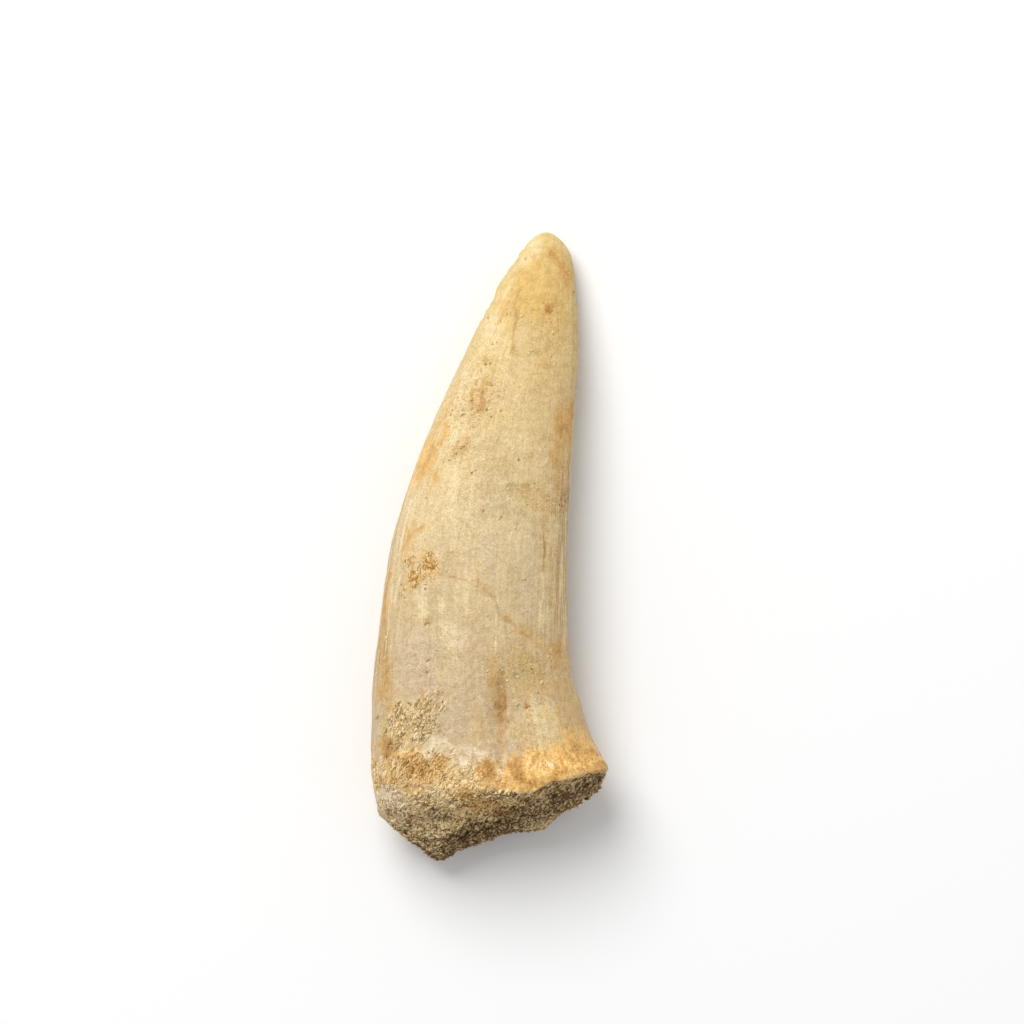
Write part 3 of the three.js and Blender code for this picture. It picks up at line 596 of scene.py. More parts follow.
def grid_faces(rows, columns):
    """Quads over rings of points with a point at each end, in the order tip, rings, middle of the break."""
    ring = np.arange(columns)
    after = (ring + 1) % columns
    quads = []
    for row in range(rows - 1):
        here = 1 + row * columns
        below = here + columns
        quads.append(np.stack((here + ring, here + after, below + after, below + ring), axis=1))
    tip = np.stack((1 + ring, np.zeros(columns, int), 1 + after), axis=1)
    last = 1 + (rows - 1) * columns
    end = np.stack((last + ring, last + after, np.full(columns, 1 + rows * columns)), axis=1)
    return np.concatenate(quads), tip, end


def facings_of(points, quads, fans):
    """The way each point faces: the mean over the faces around it. Also the area that is nearest to it."""
    normals = np.zeros_like(points)
    for faces in (quads[:, :3], quads[:, [0, 2, 3]], fans):
        a, b, c = (points[faces[:, k]] for k in range(3))
        area = np.cross(b - a, c - a) / 2
        for k in range(3):
            np.add.at(normals, faces[:, k], area / 3)
    size = np.linalg.norm(normals, axis=1)
    return normals / size[:, None], size


def in_steps(plan):
    """Where places in plan lie over the view, in steps."""
    return VIEW_ZERO + plan * (STEPS_PER_MM, -STEPS_PER_MM)


def fine_places(skin):
    """Where the points lie over the view for thin lines and single pits, whose edges fray a little."""
    return in_steps(skin.points[:, :2] + skin.overhang + LINE_FRAY * skin.jitter)


def marks(skin, lists):
    """How strongly a kind of mark covers each point, from 0 to 1."""
    total = np.zeros(len(skin.points))
    for spots, side, unrolled in zip(lists, (skin.upper, 1 - skin.upper), (1, 0)):
        places = in_steps(skin.warped[:, :2] + unrolled * skin.overhang)
        for x, y, half_length, half_width, lean, strength in spots:
            turn = math.radians(lean)
            dx = places[:, 0] - x
            dy = y - places[:, 1]
            along = (dx * math.sin(turn) + dy * math.cos(turn)) / half_length
            across = (dx * math.cos(turn) - dy * math.sin(turn)) / half_width
            share = np.exp(-MARK_FADING * (along**2 + across**2) ** MARK_EDGE)
            total = np.maximum(total, strength * share * side)
    return total


def line_nearness(skin, lines):
    """For each point of the upper flank, 0 on a strong line and 1 or more where no line reaches."""
    plan = fine_places(skin)
    nearest = np.full(len(plan), FAR)
    for half_width, strength, line in lines:
        for start, end in itertools.pairwise(np.array(line)):
            along = end - start
            share = np.clip((plan - start) @ along / (along @ along), 0, 1)
            gap = np.linalg.norm(plan - start - share[:, None] * along, axis=1)
            nearest = np.minimum(nearest, gap / half_width + 1 - strength)
    return np.where(skin.upper > 0.5, nearest, FAR)


def speck_distance(skin):
    """How far each point of the upper flank is from the nearest single pit, in radii of that pit."""
    plan = fine_places(skin)
    nearest = np.full(len(plan), FAR)
    for x, y, radius in SPECKS:
        nearest = np.minimum(nearest, np.hypot(plan[:, 0] - x, plan[:, 1] - y) / radius)
    return np.where(skin.upper > 0.5, nearest, FAR)


@functools.lru_cache(maxsize=1)
def bare_skin(columns):
    """The solid's surface as even rings of points, in millimetres, with its facets smoothed out."""
    places, facings = skin_columns(columns)
    rims = rim_rows(places, facings)
    grid = np.stack([resampled(line, rim) for line, rim in zip(places, rims)], axis=1)
    rim_row = rounded(grid[FLANK_ROWS - 1 : FLANK_ROWS], 1)
    flank = evened(np.concatenate((grid[: FLANK_ROWS - 1], rim_row)), FLANK_EVENING)
    broken = evened(np.concatenate((rim_row, grid[FLANK_ROWS:])), BREAK_EVENING)
    rings = np.concatenate((flank, broken[1:]))
    points = np.concatenate((places[0, :1], rings.reshape(-1, 3), places[0, -1:]))
    points[:, 0] += TIP_LEAN * smoothstep(points[:, 1], *TIP_STRETCH)
    quads, tip, end = grid_faces(len(rings), columns)
    normals, areas = facings_of(points, quads, np.concatenate((tip, end)))
    row = np.concatenate(([0], np.repeat(np.arange(1, len(rings) + 1), columns), [len(rings) + 1]))
    turn = np.concatenate(([0], np.tile(np.arange(columns), len(rings)), [0])) * 2 * math.pi / columns
    skin = SimpleNamespace(
        points=points, normals=normals, areas=areas, row=row, turn=turn,
        quads=quads, tip=tip, end=end, rows=len(rings), columns=columns,
    )
    skin.upper = smoothstep(normals[:, 2], *UPPER_FACING)
    skin.upper[row > FLANK_ROWS] = 1
    skin.bend = many_waves(points, "bend", 3)
    skin.jitter = many_waves(points, "jitter", 2)
    skin.warped = points + MARK_WANDER * skin.bend + MARK_FRAY * many_waves(points, "fray", 3)
    outward = normals[:, :2] / np.linalg.norm(normals[:, :2], axis=1, keepdims=True).clip(1e-6)
    fall = np.clip(math.asin(SIDE_START) - np.arcsin(np.clip(normals[:, 2], -1, 1)), 0, None)
    skin.overhang = SIDE_RADIUS * fall[:, None] * outward
    skin.overhang[row > FLANK_ROWS] = 0
    return skin


def cover(skin):
    """Where the matrix of the break, the crust and the rosettes lie, the rusty rim and the groove under it,
    and the break's painted shade, pools of painted shadow and patches of painted light.
    """
    points = skin.points
    x, y = points[:, 0], points[:, 1]
    ragged = 0.5 * waves(points, "bites")
    late = RIM_LATENESS * smoothstep(-x, 0.5, 3.5)
    bites = RIM_RAGGEDNESS * ragged * (1 + late)
    broken = smoothstep(skin.row - late + bites, FLANK_ROWS - 1, FLANK_ROWS + 1 + late)

    crust = marks(skin, CRUST)
    fringe = smoothstep(crust, 0.03, 0.25)
    crust = smoothstep(crust + (0.4 * ragged + 0.35 * waves(points, "tufts")) * fringe, 0.2, 0.8)
    rosette = smoothstep(marks(skin, ROSETTES) + 0.5 * ragged, 0.25, 0.65)

    # Patches of painted light, and pools of painted shadow, listed and at random, which the lit patches
    # weaken.
    lit_patches = marks(skin, LIT_PATCHES)
    shadow_pools = np.maximum(marks(skin, SHADOW_POOLS), 0.3 * smoothstep(waves(points, "shadow_pools"), 0.3, 0.9))
    shadow_pools *= 1 - 0.8 * lit_patches
    # Painted shade of the break: below a line in plan, wherever it faces down, and in the shadow pools; less
    # in the lit patches.
    below = BREAK_SHADE_LINE[0] + BREAK_SHADE_LINE[1] * x - y
    below += 0.5 * waves(points, "shade") + 0.4 * waves(points, "shade_fray")
    shade = BREAK_SHADE * smoothstep(below, -0.8, 1.1)
    shade = np.maximum(shade, smoothstep(-skin.normals[:, 2], 0.1, 0.4))
    shade = np.clip(shade + 0.35 * shadow_pools, 0, 1) * (1 - 0.6 * lit_patches)

    rim = smoothstep(skin.row, *RUSTY_ROWS) * smoothstep(x, -3.0, -0.5) * (1 - broken)
    # Under the rim: a groove in the relief, and its colour there is a painted shadow.
    under_rim = gaussian((skin.row + bites - FLANK_ROWS - 2.5) / 1.6) * smoothstep(x, -2.0, 1.0)
    return {
        "matrix": broken, "crust": crust * (1 - broken), "rosette": rosette,
        "shade": shade, "painted_light": lit_patches, "rim": rim, "under_rim": under_rim, "pooled_shade": shadow_pools * broken,
    }


def leaning(points):
    """Places drawn together along the way the grains lie, so that round bumps over them come out long."""
    return points - SAND_SQUEEZE * (points @ GRAIN_LIE)[:, None] * GRAIN_LIE


def relief(skin, shares, stria_height):
    """How far each point of the finished skin stands proud of the bare one, in millimetres."""
    points = skin.points
    crust, matrix = shares["crust"], shares["matrix"]
    height = RELIEF.dents * waves(points, "dents") + RELIEF.fine_dents * waves(points, "fine_dents")

    pitted = PITS_ANYWHERE + PITS_WHERE_PITTED * smoothstep(shares["pitted"], 0.1, 0.8)
    pits = np.clip(pebbles(points + PIT_WANDER * skin.bend, "pits") - PIT_LEVEL, 0, 1) * pitted
    enamel = stria_height * waves(growth_place(skin), "striae") * shares["striated"]
    enamel -= RELIEF.pits * pits + RELIEF.single_pits * gaussian(shares["pit_distance"])
    enamel -= RELIEF.cracks * gaussian(shares["dark_line"], 2)
    enamel += RELIEF.scratches * gaussian(shares["pale_line"], 2)
    enamel += RELIEF.rim * waves(points, "rim") * shares["rim"]
    height += enamel * (1 - crust) * (1 - matrix)

    x, y, half_width, half_length, depth = FURROW
    furrow = gaussian((points[:, 0] - x) / half_width) * gaussian((points[:, 1] - y) / half_length)
    height -= depth * furrow * skin.upper
    plan = in_steps(skin.warped[:, :2])
    for x, y, radius in CHIPS:
        reach = np.hypot(plan[:, 0] - x, plan[:, 1] - y) / radius
        height -= CHIP_STEEPNESS * radius / STEPS_PER_MM * np.exp(-(reach**4)) * skin.upper

    sand = pebbles(leaning(points) + SAND_WANDER * skin.bend, "sand") - SAND_LEVEL
    lumps = waves(points, "lumps")
    height += crust * (RELIEF.crust_sand * sand + RELIEF.crust_lumps * lumps)
    height += matrix * (RELIEF.break_sand * sand + RELIEF.break_lumps * lumps - RELIEF.break_sunk)
    height -= RELIEF.under_rim * shares["under_rim"] * matrix
    height += shares["rosette"] * (RELIEF.rosettes - RELIEF.curls * gaussian(shares["curl"], 6))
    return height


def growth_place(skin):
    """Places that run with the growth of the tooth, so that noise over them makes lines from base to tip."""
    along = GROWTH_STRETCH * skin.points[:, 1]
    return np.stack((GROWTH_RADIUS * np.cos(skin.turn), GROWTH_RADIUS * np.sin(skin.turn), along), axis=1)


def striated(skin):
    """How strongly the growth lines show: most along the front and back edges of the lower crown."""
    y = skin.points[:, 1]
    total = np.full(len(y), GROWTH_ANYWHERE)
    for turn, width, strength, start, full, fading, faded, loss in GROWTH_BANDS:
        band = gaussian((skin.turn - turn) / width) * smoothstep(y, start, full)
        total += strength * band * (1 - loss * smoothstep(y, fading, faded))
    faint = 1 - GROWTH_FADE * smoothstep(-skin.normals[:, 2], -0.1, 0.5)
    return np.clip(total, 0, 1) * faint


@functools.lru_cache(maxsize=1)
def finished_skin(columns):
    """The skin with its relief, and what the finishes need to know at each point."""
    skin = bare_skin(columns)
    along = (HALF_LENGTH - skin.points[:, 1]) / (2 * HALF_LENGTH)
    shares = {"along": along, "striated": striated(skin)}
    shares.update((name, marks(skin, lists)) for name, lists in MARKS.items())
    shares.update((name, line_nearness(skin, lines)) for name, lines in LINES.items())
    shares["pit_distance"] = speck_distance(skin)
    shares.update(cover(skin))
    height = relief(skin, shares, bpy.context.scene.fossil_tooth_sizes.stria_height / MM)
    # How low each point sits; the finish darkens these low places as painted shade in the crust and on the
    # break.
    shares["hollow"] = np.clip(HOLLOW_LEVEL - height / HOLLOW_DEPTH, 0, 1)
    shaped = skin.points + skin.normals * height[:, None]
    shaped[:, 2] = np.maximum(shaped[:, 2], 0)
    normals, areas = facings_of(shaped, skin.quads, np.concatenate((skin.tip, skin.end)))
    return SimpleNamespace(
        points=shaped, normals=normals, areas=areas, shares=shares, growth=growth_place(skin), skin=skin
    )


def skin_object(finished):
    """The mesh of the skin, with its shares as attributes and a map that unrolls it."""
    skin = finished.skin
    mesh = bpy.data.meshes.new("tooth_skin")
    faces = skin.tip.tolist() + skin.quads.tolist() + skin.end.tolist()
    mesh.from_pydata((finished.points * MM).tolist(), [], faces)
    for name, values in finished.shares.items():
        attribute = mesh.attributes.new(name, "FLOAT", "POINT")
        attribute.data.foreach_set("value", values.astype(np.float32))
    growth = mesh.attributes.new("growth", "FLOAT_VECTOR", "POINT")
    growth.data.foreach_set("vector", finished.growth.astype(np.float32).ravel())
    columns = skin.columns
    corner_points = np.concatenate([f.ravel() for f in (skin.tip, skin.quads, skin.end)])
    column = np.where(corner_points > 0, (corner_points - 1) % columns, 0).astype(float)
    round_once = np.arange(columns)
    fan = np.repeat(round_once, 3)
    first_column = np.concatenate((fan, np.repeat(np.tile(round_once, skin.rows - 1), 4), fan))
    column = np.where(column < first_column, column + columns, column)
    row = skin.row[corner_points]
    at_pole = (row == 0) | (row == skin.rows + 1)
    column = np.where(at_pole, first_column + 0.5, column)
    layer = mesh.uv_layers.new(name="OFBake")
    places = np.stack((column / columns, row / (skin.rows + 1)), axis=1)
    layer.data.foreach_set("uv", places.astype(np.float32).ravel())
    mesh.shade_smooth()
    mesh.update()
    return added("tooth_skin", mesh)


class Value:
    """A number that a node puts out. Sums, differences and products of it are math nodes."""

    def __init__(self, finish, socket):
        self.finish = finish
        self.socket = socket

    def __add__(self, other):
        return self.finish.math("ADD", self, other)

    def __sub__(self, other):
        return self.finish.math("SUBTRACT", self, other)

    def __mul__(self, other):
        return self.finish.math("MULTIPLY", self, other)

    def between(self, low, high, to_low=0.0, to_high=1.0):
        """Runs smoothly from one level to another while the value goes from low to high."""
        node = self.finish.add("ShaderNodeMapRange", interpolation_type="SMOOTHSTEP")
        names = ("Value", "From Min", "From Max", "To Min", "To Max")
        for name, number in zip(names, (self, low, high, to_low, to_high)):
            self.finish.put(node.inputs[name], number)
        return Value(self.finish, node.outputs["Result"])


class Finish:
    """A short way to write a material's nodes."""

    def __init__(self, name):
        self.material = bpy.data.materials.new(name)
        self.material.use_nodes = True
        self.nodes = self.material.node_tree.nodes
        self.links = self.material.node_tree.links
        self.shader = self.nodes["Principled BSDF"]
        node = self.add("ShaderNodeVectorMath", operation="SCALE")
        self.put(node.inputs[0], self.add("ShaderNodeTexCoord").outputs["Object"])
        self.put(node.inputs["Scale"], 1 / MM)
        self.place = node.outputs[0]

    def add(self, kind, **settings):
        node = self.nodes.new(kind)
        for key, value in settings.items():
            setattr(node, key, value)
        return node

    def put(self, socket, value):
        """Links a value or a socket to a socket, or sets the socket to a number, a vector or a colour."""
        if isinstance(value, Value):
            value = value.socket
        if isinstance(value, bpy.types.NodeSocket):
            self.links.new(value, socket)
        elif socket.type == "RGBA":
            socket.default_value = (*value, 1.0)
        else:
            socket.default_value = value

    def math(self, operation, a, b=0.0, clamp=False):
        node = self.add("ShaderNodeMath", operation=operation, use_clamp=clamp)
        self.put(node.inputs[0], a)
        self.put(node.inputs[1], b)
        return Value(self, node.outputs[0])

    def product(self, a, b):
        """Two vectors or colours, multiplied part by part."""
        node = self.add("ShaderNodeVectorMath", operation="MULTIPLY")
        self.put(node.inputs[0], a)
        self.put(node.inputs[1], b)
        return node.outputs[0]

    def share(self, name):
        return Value(self, self.add("ShaderNodeAttribute", attribute_name=name).outputs["Fac"])

    def noise(self, place, scale, detail, roughness):
        node = self.add("ShaderNodeTexNoise")
        names = ("Vector", "Scale", "Detail", "Roughness")
        for name, value in zip(names, (place, scale, detail, roughness)):
            self.put(node.inputs[name], value)
        return Value(self, node.outputs["Fac"])

    def ragged(self, name, noise, raggedness):
        """A share from the skin whose soft edge is broken up by a noise."""
        share = self.share(name)
        spread = (noise - 0.5) * raggedness * share.between(*SOFT_EDGE)
        return (share + spread).between(*RAGGED_EDGE)

    def mix(self, share, below, above, blend="MIX"):
        """Lays one colour over another. This node's sockets are picked by place, as their names repeat."""
        node = self.add("ShaderNodeMix", data_type="RGBA", blend_type=blend, clamp_factor=True)
        for place, value in ((0, share), (6, below), (7, above)):
            self.put(node.inputs[place], value)
        return node.outputs[2]

    def layered(self, colour, layers):
        """A colour with others laid over it in turn, each by its own share."""
        for share, tint in layers:
            colour = self.mix(share, colour, tint)
        return colour

    def toned(self, share, colour, tones, dark, light):
        """Where a share is high, deepens a colour at the low tones and bleaches it at the high ones."""
        scale = self.add("ShaderNodeCombineXYZ")
        for socket, low, high in zip(scale.inputs, dark, light):
            self.put(socket, tones.between(0.0, 1.0, low, high))
        return self.mix(share, colour, self.product(colour, scale.outputs[0]))


def enamel_noises(finish):
    """The noises of the enamel by name."""
    lie = finish.add("ShaderNodeMapping", vector_type="TEXTURE")
    finish.put(lie.inputs["Vector"], finish.place)
    finish.put(lie.inputs["Rotation"], (0.0, 0.0, math.atan2(GRAIN_LIE[1], GRAIN_LIE[0])))
    finish.put(lie.inputs["Scale"], (3.0, 1.0, 1.0))
    places = {
        "even": finish.place,
        "upright": finish.product(finish.place, (1.0, 0.4, 1.0)),
        "lying": lie.outputs[0],
        "growth": finish.add("ShaderNodeAttribute", attribute_name="growth").outputs["Vector"],
    }
    noises = {name: finish.noise(places[place], *settings) for name, (place, *settings) in NOISES.items()}
    return SimpleNamespace(**noises)


def crown_colour(finish, colours, noises):
    """The colour of the enamel from tip to base, mottled, with its soft stains over it."""
    lacy, medium = noises.lacy, noises.medium
    ramp = finish.add("ShaderNodeValToRGB")
    stops = ((0.04, colours.tip), (0.22, colours.upper), (0.48, colours.middle), (0.74, colours.lower))
    while len(ramp.color_ramp.elements) < len(stops):
        ramp.color_ramp.elements.new(0.5)
    for element, (place, colour) in zip(ramp.color_ramp.elements, stops):
        element.position = place
        element.color = (*colour, 1.0)
    finish.put(ramp.inputs["Fac"], finish.share("along") + (noises.broad - 0.5) * 0.3)
    mottling = (
        (noises.bands.between(0.5, 0.75) * 0.5, colours.grey),
        (medium.between(0.5, 0.7) * 0.45, colours.pale),
        (noises.coarse.between(0.5, 0.68) * 0.45, colours.olive),
        (lacy.between(0.54, 0.72) * 0.3, colours.ochre),
    )
    stains = (
        (finish.ragged("olive", medium, 1.6) * 0.7, colours.olive),
        (finish.ragged("ochre", medium, 1.6) * 0.85, colours.ochre),
        (finish.ragged("grey", medium, 1.4) * 0.8, colours.grey),
        (finish.ragged("gold", lacy, 2.0) * 0.9, colours.gold),
        (finish.ragged("honey", lacy, 0.7) * 0.9, colours.honey),
        (finish.ragged("pale", noises.strands, 1.6) * 0.75, colours.pale),
        (finish.ragged("chalk", medium, 1.8) * 0.75, colours.chalk),
    )
    return finish.layered(ramp.outputs["Color"], mottling + stains)


def dark_stains(finish, colours, noises):
    """The orange and brown stains: a soft one in the lacy noise, and a dense core between the threads."""
    layers = []
    for name, glow, core, soft_tint, core_tint in (
        ("orange", 0.85, 0.6, colours.glow, colours.orange),
        ("brown", 0.8, 0.6, colours.furrow, colours.brown),
    ):
        share = finish.share(name)
        soft = share + (noises.lacy - 0.5) * 0.6
        dense = share * 0.3 + 0.3 - noises.threads
        layers.append((soft.between(0.0, 0.85) * share.between(0.0, 0.2) * glow, soft_tint))
        layers.append((dense.between(-0.05, 0.14) * share.between(0.1, 0.5) * core, core_tint))
    return layers


def drawn_lines(finish, colours, lacy):
    """The cracks, healed cracks and scratches."""
    layers = []
    for name, strength, tint in (
        ("brown_line", 0.6, colours.furrow),
        ("pale_line", 0.75, colours.scratch),
        ("dark_line", 0.8, colours.pit),
    ):
        near = finish.share(name).between(1.0, 0.0)
        layers.append((near * lacy.between(0.34, 0.52, 0.6, 1.0) * strength, tint))
    return layers


def enamel_finish(colours):
    """The finish of the whole skin: enamel, crust, rosettes and the ground of the break."""
    finish = Finish("fossil_enamel")
    noises = enamel_noises(finish)
    medium, coarse, fine, lacy = noises.medium, noises.coarse, noises.fine, noises.lacy
    speck, hairs, rods = noises.speck, noises.hairs, noises.rods
    crust, matrix, rosette, rim = (finish.share(name) for name in ("crust", "matrix", "rosette", "rim"))
    orange, pitted, hollow = (finish.share(name) for name in ("orange", "pitted", "hollow"))
    sandy = finish.math("MAXIMUM", crust, matrix)
    clean = finish.math("SUBTRACT", 1.0, sandy, clamp=True)

    edges = finish.share("striated") * clean
    singles = (finish.share("pit_distance") + (fine - 0.5) * 2.0).between(1.0, 0.35)
    dotted = finish.math("MAXIMUM", pitted, finish.share("brown"))
    pits = (dotted * 0.07 + 0.3 - fine).between(0.0, 0.045) * clean
    crumbs = (speck + pitted * 0.05).between(0.64, 0.7)
    colour = finish.layered(crown_colour(finish, colours, noises), (
        *dark_stains(finish, colours, noises),
        (orange.between(0.3, 0.9) * rim * 0.55, colours.orange),
        (hairs.between(0.49, 0.57) * edges * 0.85, colours.pit),
        (hairs.between(0.46, 0.38) * edges * 0.85, colours.pale),
        *drawn_lines(finish, colours, lacy),
        (singles, colours.pit),
        (pits * 0.7, colours.pit),
        (crumbs * clean * 0.4, colours.pale),
    ))
    crust_colour = finish.layered(colours.crust, (
        (medium.between(0.4, 0.62), colours.crust_pale),
        (finish.ragged("chalk", lacy, 1.0), colours.chalk),
        (finish.ragged("orange", lacy, 1.4), colours.rust),
        (finish.ragged("brown", lacy, 1.4), colours.brown),
    ))
    # The break's ground: painted shade low down, in the shadow pools and in its hollows, painted light in its
    # lit patches, rust where it is stained.
    break_colour = finish.layered(colours.matrix, (
        (finish.share("shade"), colours.matrix_in_shade),
        (finish.share("pooled_shade") * 0.5, colours.dark),
        (finish.share("painted_light") * 0.45, colours.chalk),
        (orange * 0.6, colours.rust),
        (hollow * 0.65, colours.dark),
    ))
    swirl = finish.math("ABSOLUTE", noises.swirls - 0.5).between(0.04, 0.01) * rosette
    colour = finish.layered(colour, (
        (crust * 0.8, crust_colour),
        (rosette * 0.55, colours.rosette),
        (rosette * fine.between(0.52, 0.6) * 0.6, colours.pale),
        (swirl * 0.85, colours.curl),
        (finish.share("curl").between(0.5, 0.15) * 0.85, colours.curl),
        # Painted shade in the hollows of the crust.
        (hollow * crust * 0.6, colours.gap),
        (matrix, break_colour),
        # Painted shadow under the rim.
        (finish.share("under_rim") * matrix * 0.8, colours.dark),
    ))

    grit = (speck * 0.55 + fine * 0.45).between(0.37, 0.63)
    patchy = (pitted * 0.3 + medium).between(0.4, 0.66, 0.5, 1.0)
    patchy = patchy * finish.share("along").between(0.05, 0.25, 0.55, 1.0)
    blotches = (lacy * 0.6 + fine * 0.4).between(0.38, 0.6)
    # On the sand the rods' low tones are painted shade between the grains and their high tones painted light,
    # on the same rods that raise the bump.
    for share, tones, dark, light in (
        (patchy, grit, (0.82, 0.77, 0.66), (1.13, 1.17, 1.27)),
        (1.0, coarse.between(0.36, 0.64), (0.925, 0.915, 0.88), (1.065, 1.072, 1.10)),
        (rim, blotches, (0.82, 0.68, 0.47), (1.2, 1.25, 1.38)),
        (sandy, rods.between(0.36, 0.64), (0.58, 0.47, 0.29), (1.32, 1.43, 1.65)),
    ):
        colour = finish.toned(share, colour, tones, dark, light)
    finish.put(finish.shader.inputs["Base Color"], colour)
    roughness = finish.math("ADD", medium.between(0.3, 0.7, 0.45, 0.62), sandy * 0.35, clamp=True)
    finish.put(finish.shader.inputs["Roughness"], roughness)
    finish.put(finish.shader.inputs["Specular IOR Level"], 0.25)

    height = fine * 0.6 + speck * 0.25 + coarse * 0.8 - swirl * 0.7
    height = height + rods * (sandy * 2.5) + lacy * (rim * 1.5) + hairs * edges
    height = height + crumbs * (clean * 0.6) - pits * 0.3
    bump = finish.add("ShaderNodeBump")
    finish.put(bump.inputs["Strength"], 1.0)
    finish.put(bump.inputs["Distance"], BUMP_HEIGHT)
    finish.put(bump.inputs["Height"], height)
    finish.put(finish.shader.inputs["Normal"], bump.outputs["Normal"])
    return finish.material


def sand_finish():
    """The finish of the loose grains, whose tints are in their mesh."""
    finish = Finish("loose_sand")
    tint = finish.add("ShaderNodeAttribute", attribute_name="tint").outputs["Color"]
    shade = finish.noise(finish.place, 9.0, 3.0, 0.6).between(0.3, 0.7, 0.8, 1.1)
    roughness = finish.noise(finish.place, 6.0, 4.0, 0.6).between(0.3, 0.7, 0.55, 0.85)
    finish.put(finish.shader.inputs["Base Color"], finish.mix(1.0, tint, shade, "MULTIPLY"))
    finish.put(finish.shader.inputs["Roughness"], roughness)
    return finish.material


def grain_form():
    """The corners of one grain, a ring with a point at each end, and its triangles."""
    turns = np.arange(GRAIN_SIDES) * 2 * math.pi / GRAIN_SIDES
    ring = np.stack((0 * turns, np.cos(turns), np.sin(turns)), axis=1)
    corners = np.concatenate((ring, ((1, 0, 0), (-1, 0, 0))))
    here = np.arange(GRAIN_SIDES)
    after = (here + 1) % GRAIN_SIDES
    front = np.stack((here, after, np.full(GRAIN_SIDES, GRAIN_SIDES)), axis=1)
    back = np.stack((after, here, np.full(GRAIN_SIDES, GRAIN_SIDES + 1)), axis=1)
    return corners, np.concatenate((front, back))


def grain_axes(rng, points, normals):
    """For each grain, its long axis, which lies nearly along the surface, and two more across it."""
    lie = math.atan2(GRAIN_LIE[1], GRAIN_LIE[0]) + GRAIN_SWING * waves(points, "grain_swing")
    wild = np.stack((np.cos(lie), np.sin(lie), 0 * lie), axis=1)
    wild = wild * rng.choice((-1, 1), size=(len(normals), 1))
    wild += GRAIN_WILDNESS * rng.normal(size=normals.shape)
    flat = wild - (wild * normals).sum(axis=1, keepdims=True) * normals
    flat /= np.linalg.norm(flat, axis=1, keepdims=True)
    tilt = GRAIN_TILT * rng.normal(size=(len(normals), 1))
    long = np.cos(tilt) * flat + np.sin(tilt) * normals
    side = np.cross(normals, long)
    side /= np.linalg.norm(side, axis=1, keepdims=True)
    return np.stack((long, side, np.cross(long, side)), axis=1)


def grain_tones(finished, sites, centres, rise, grains, ground, rng):
    """The colour of each grain around its ground's: painted shade where it sits low and painted light where
    it stands out.
    """
    shares = finished.shares
    tone = rise + GRAIN_TONES * rng.normal(size=len(sites)) + grains.clumps * waves(centres, "grain_clumps")
    tone += LIT_PATCH_TONE * shares["painted_light"][sites]
    lit = smoothstep(tone, *grains.turning)[:, None]
    colours = ground(finished, sites, rng)
    colours = colours * (np.array(grains.dark) * (1 - lit) + lit)
    bleach = smoothstep(tone, *grains.bleaching) * (1 - 0.75 * shares["orange"][sites])
    # Less painted light on grains in the painted shade and in the pools of painted shadow.
    bleach *= 1 - np.maximum(0.5 * shares["shade"], 0.6 * shares["pooled_shade"])[sites]
    return blended(colours, grains.palest, bleach)


def scatter(name, finished, weight, width, ground, placed=()):
    """Grains of sand stuck to the skin at some places and where the weight is high, joined in one mesh."""
    grains = SimpleNamespace(**GRAINS[name])
    rng = np.random.default_rng(grains.seed)
    count = grains.count
    chance = weight * finished.areas
    sites = rng.choice(len(chance), size=count, p=chance / chance.sum())
    sites[: len(placed)] = placed
    normals = finished.normals[sites]
    half = width / MM / 2 * np.exp(GRAIN_SPREAD * rng.normal(size=count)).clip(*GRAIN_WIDTHS)
    half[: len(placed)] *= PLACED_GRAIN
    rise = rng.random(count)
    lift = half * np.interp(rise, (0, 1), grains.lift)
    lift -= half * GRAIN_SINK * smoothstep(-normals[:, 2], *DOWN_FACING)
    centres = finished.points[sites] + GRAIN_SHIFT * rng.normal(size=(count, 3)) + normals * lift[:, None]
    form, triangles = grain_form()
    least, most = zip(grains.length, GRAIN_BREADTH, GRAIN_HEIGHT)
    stretch = rng.uniform(least, most, size=(count, 3))
    corners = form[None] * stretch[:, None] * rng.uniform(*GRAIN_CORNERS, size=(count, len(form), 1))
    corners = np.einsum("nci,nij->ncj", corners, grain_axes(rng, centres, normals))
    points = (centres[:, None] + corners * half[:, None, None]).reshape(-1, 3)
    points[:, 2] = np.maximum(points[:, 2], 0)
    faces = (triangles[None] + len(form) * np.arange(count)[:, None, None]).reshape(-1, 3)
    mesh = bpy.data.meshes.new(name)
    mesh.from_pydata((points * MM).tolist(), [], faces.tolist())
    tint = np.ones((count, len(form), 4))
    tint[..., :3] = grain_tones(finished, sites, centres, rise, grains, ground, rng)[:, None]
    attribute = mesh.attributes.new("tint", "FLOAT_COLOR", "POINT")
    attribute.data.foreach_set("color", tint.astype(np.float32).ravel())
    mesh.update()
    return added(name, mesh)


def added(name, data):
    """A new object in the scene."""
    obj = bpy.data.objects.new(name, data)
    bpy.context.scene.collection.objects.link(obj)
    return obj


def blended(below, above, share):
    """One colour laid over others by a share for each grain."""
    return below + (np.array(above) - below) * share[:, None]


def tinted(ground, layers):
    """A ground colour with others laid over it in turn, each by its own share for each grain."""
    tint = np.array(ground)
    for share, colour in layers:
        tint = blended(tint, colour, share)
    return tint


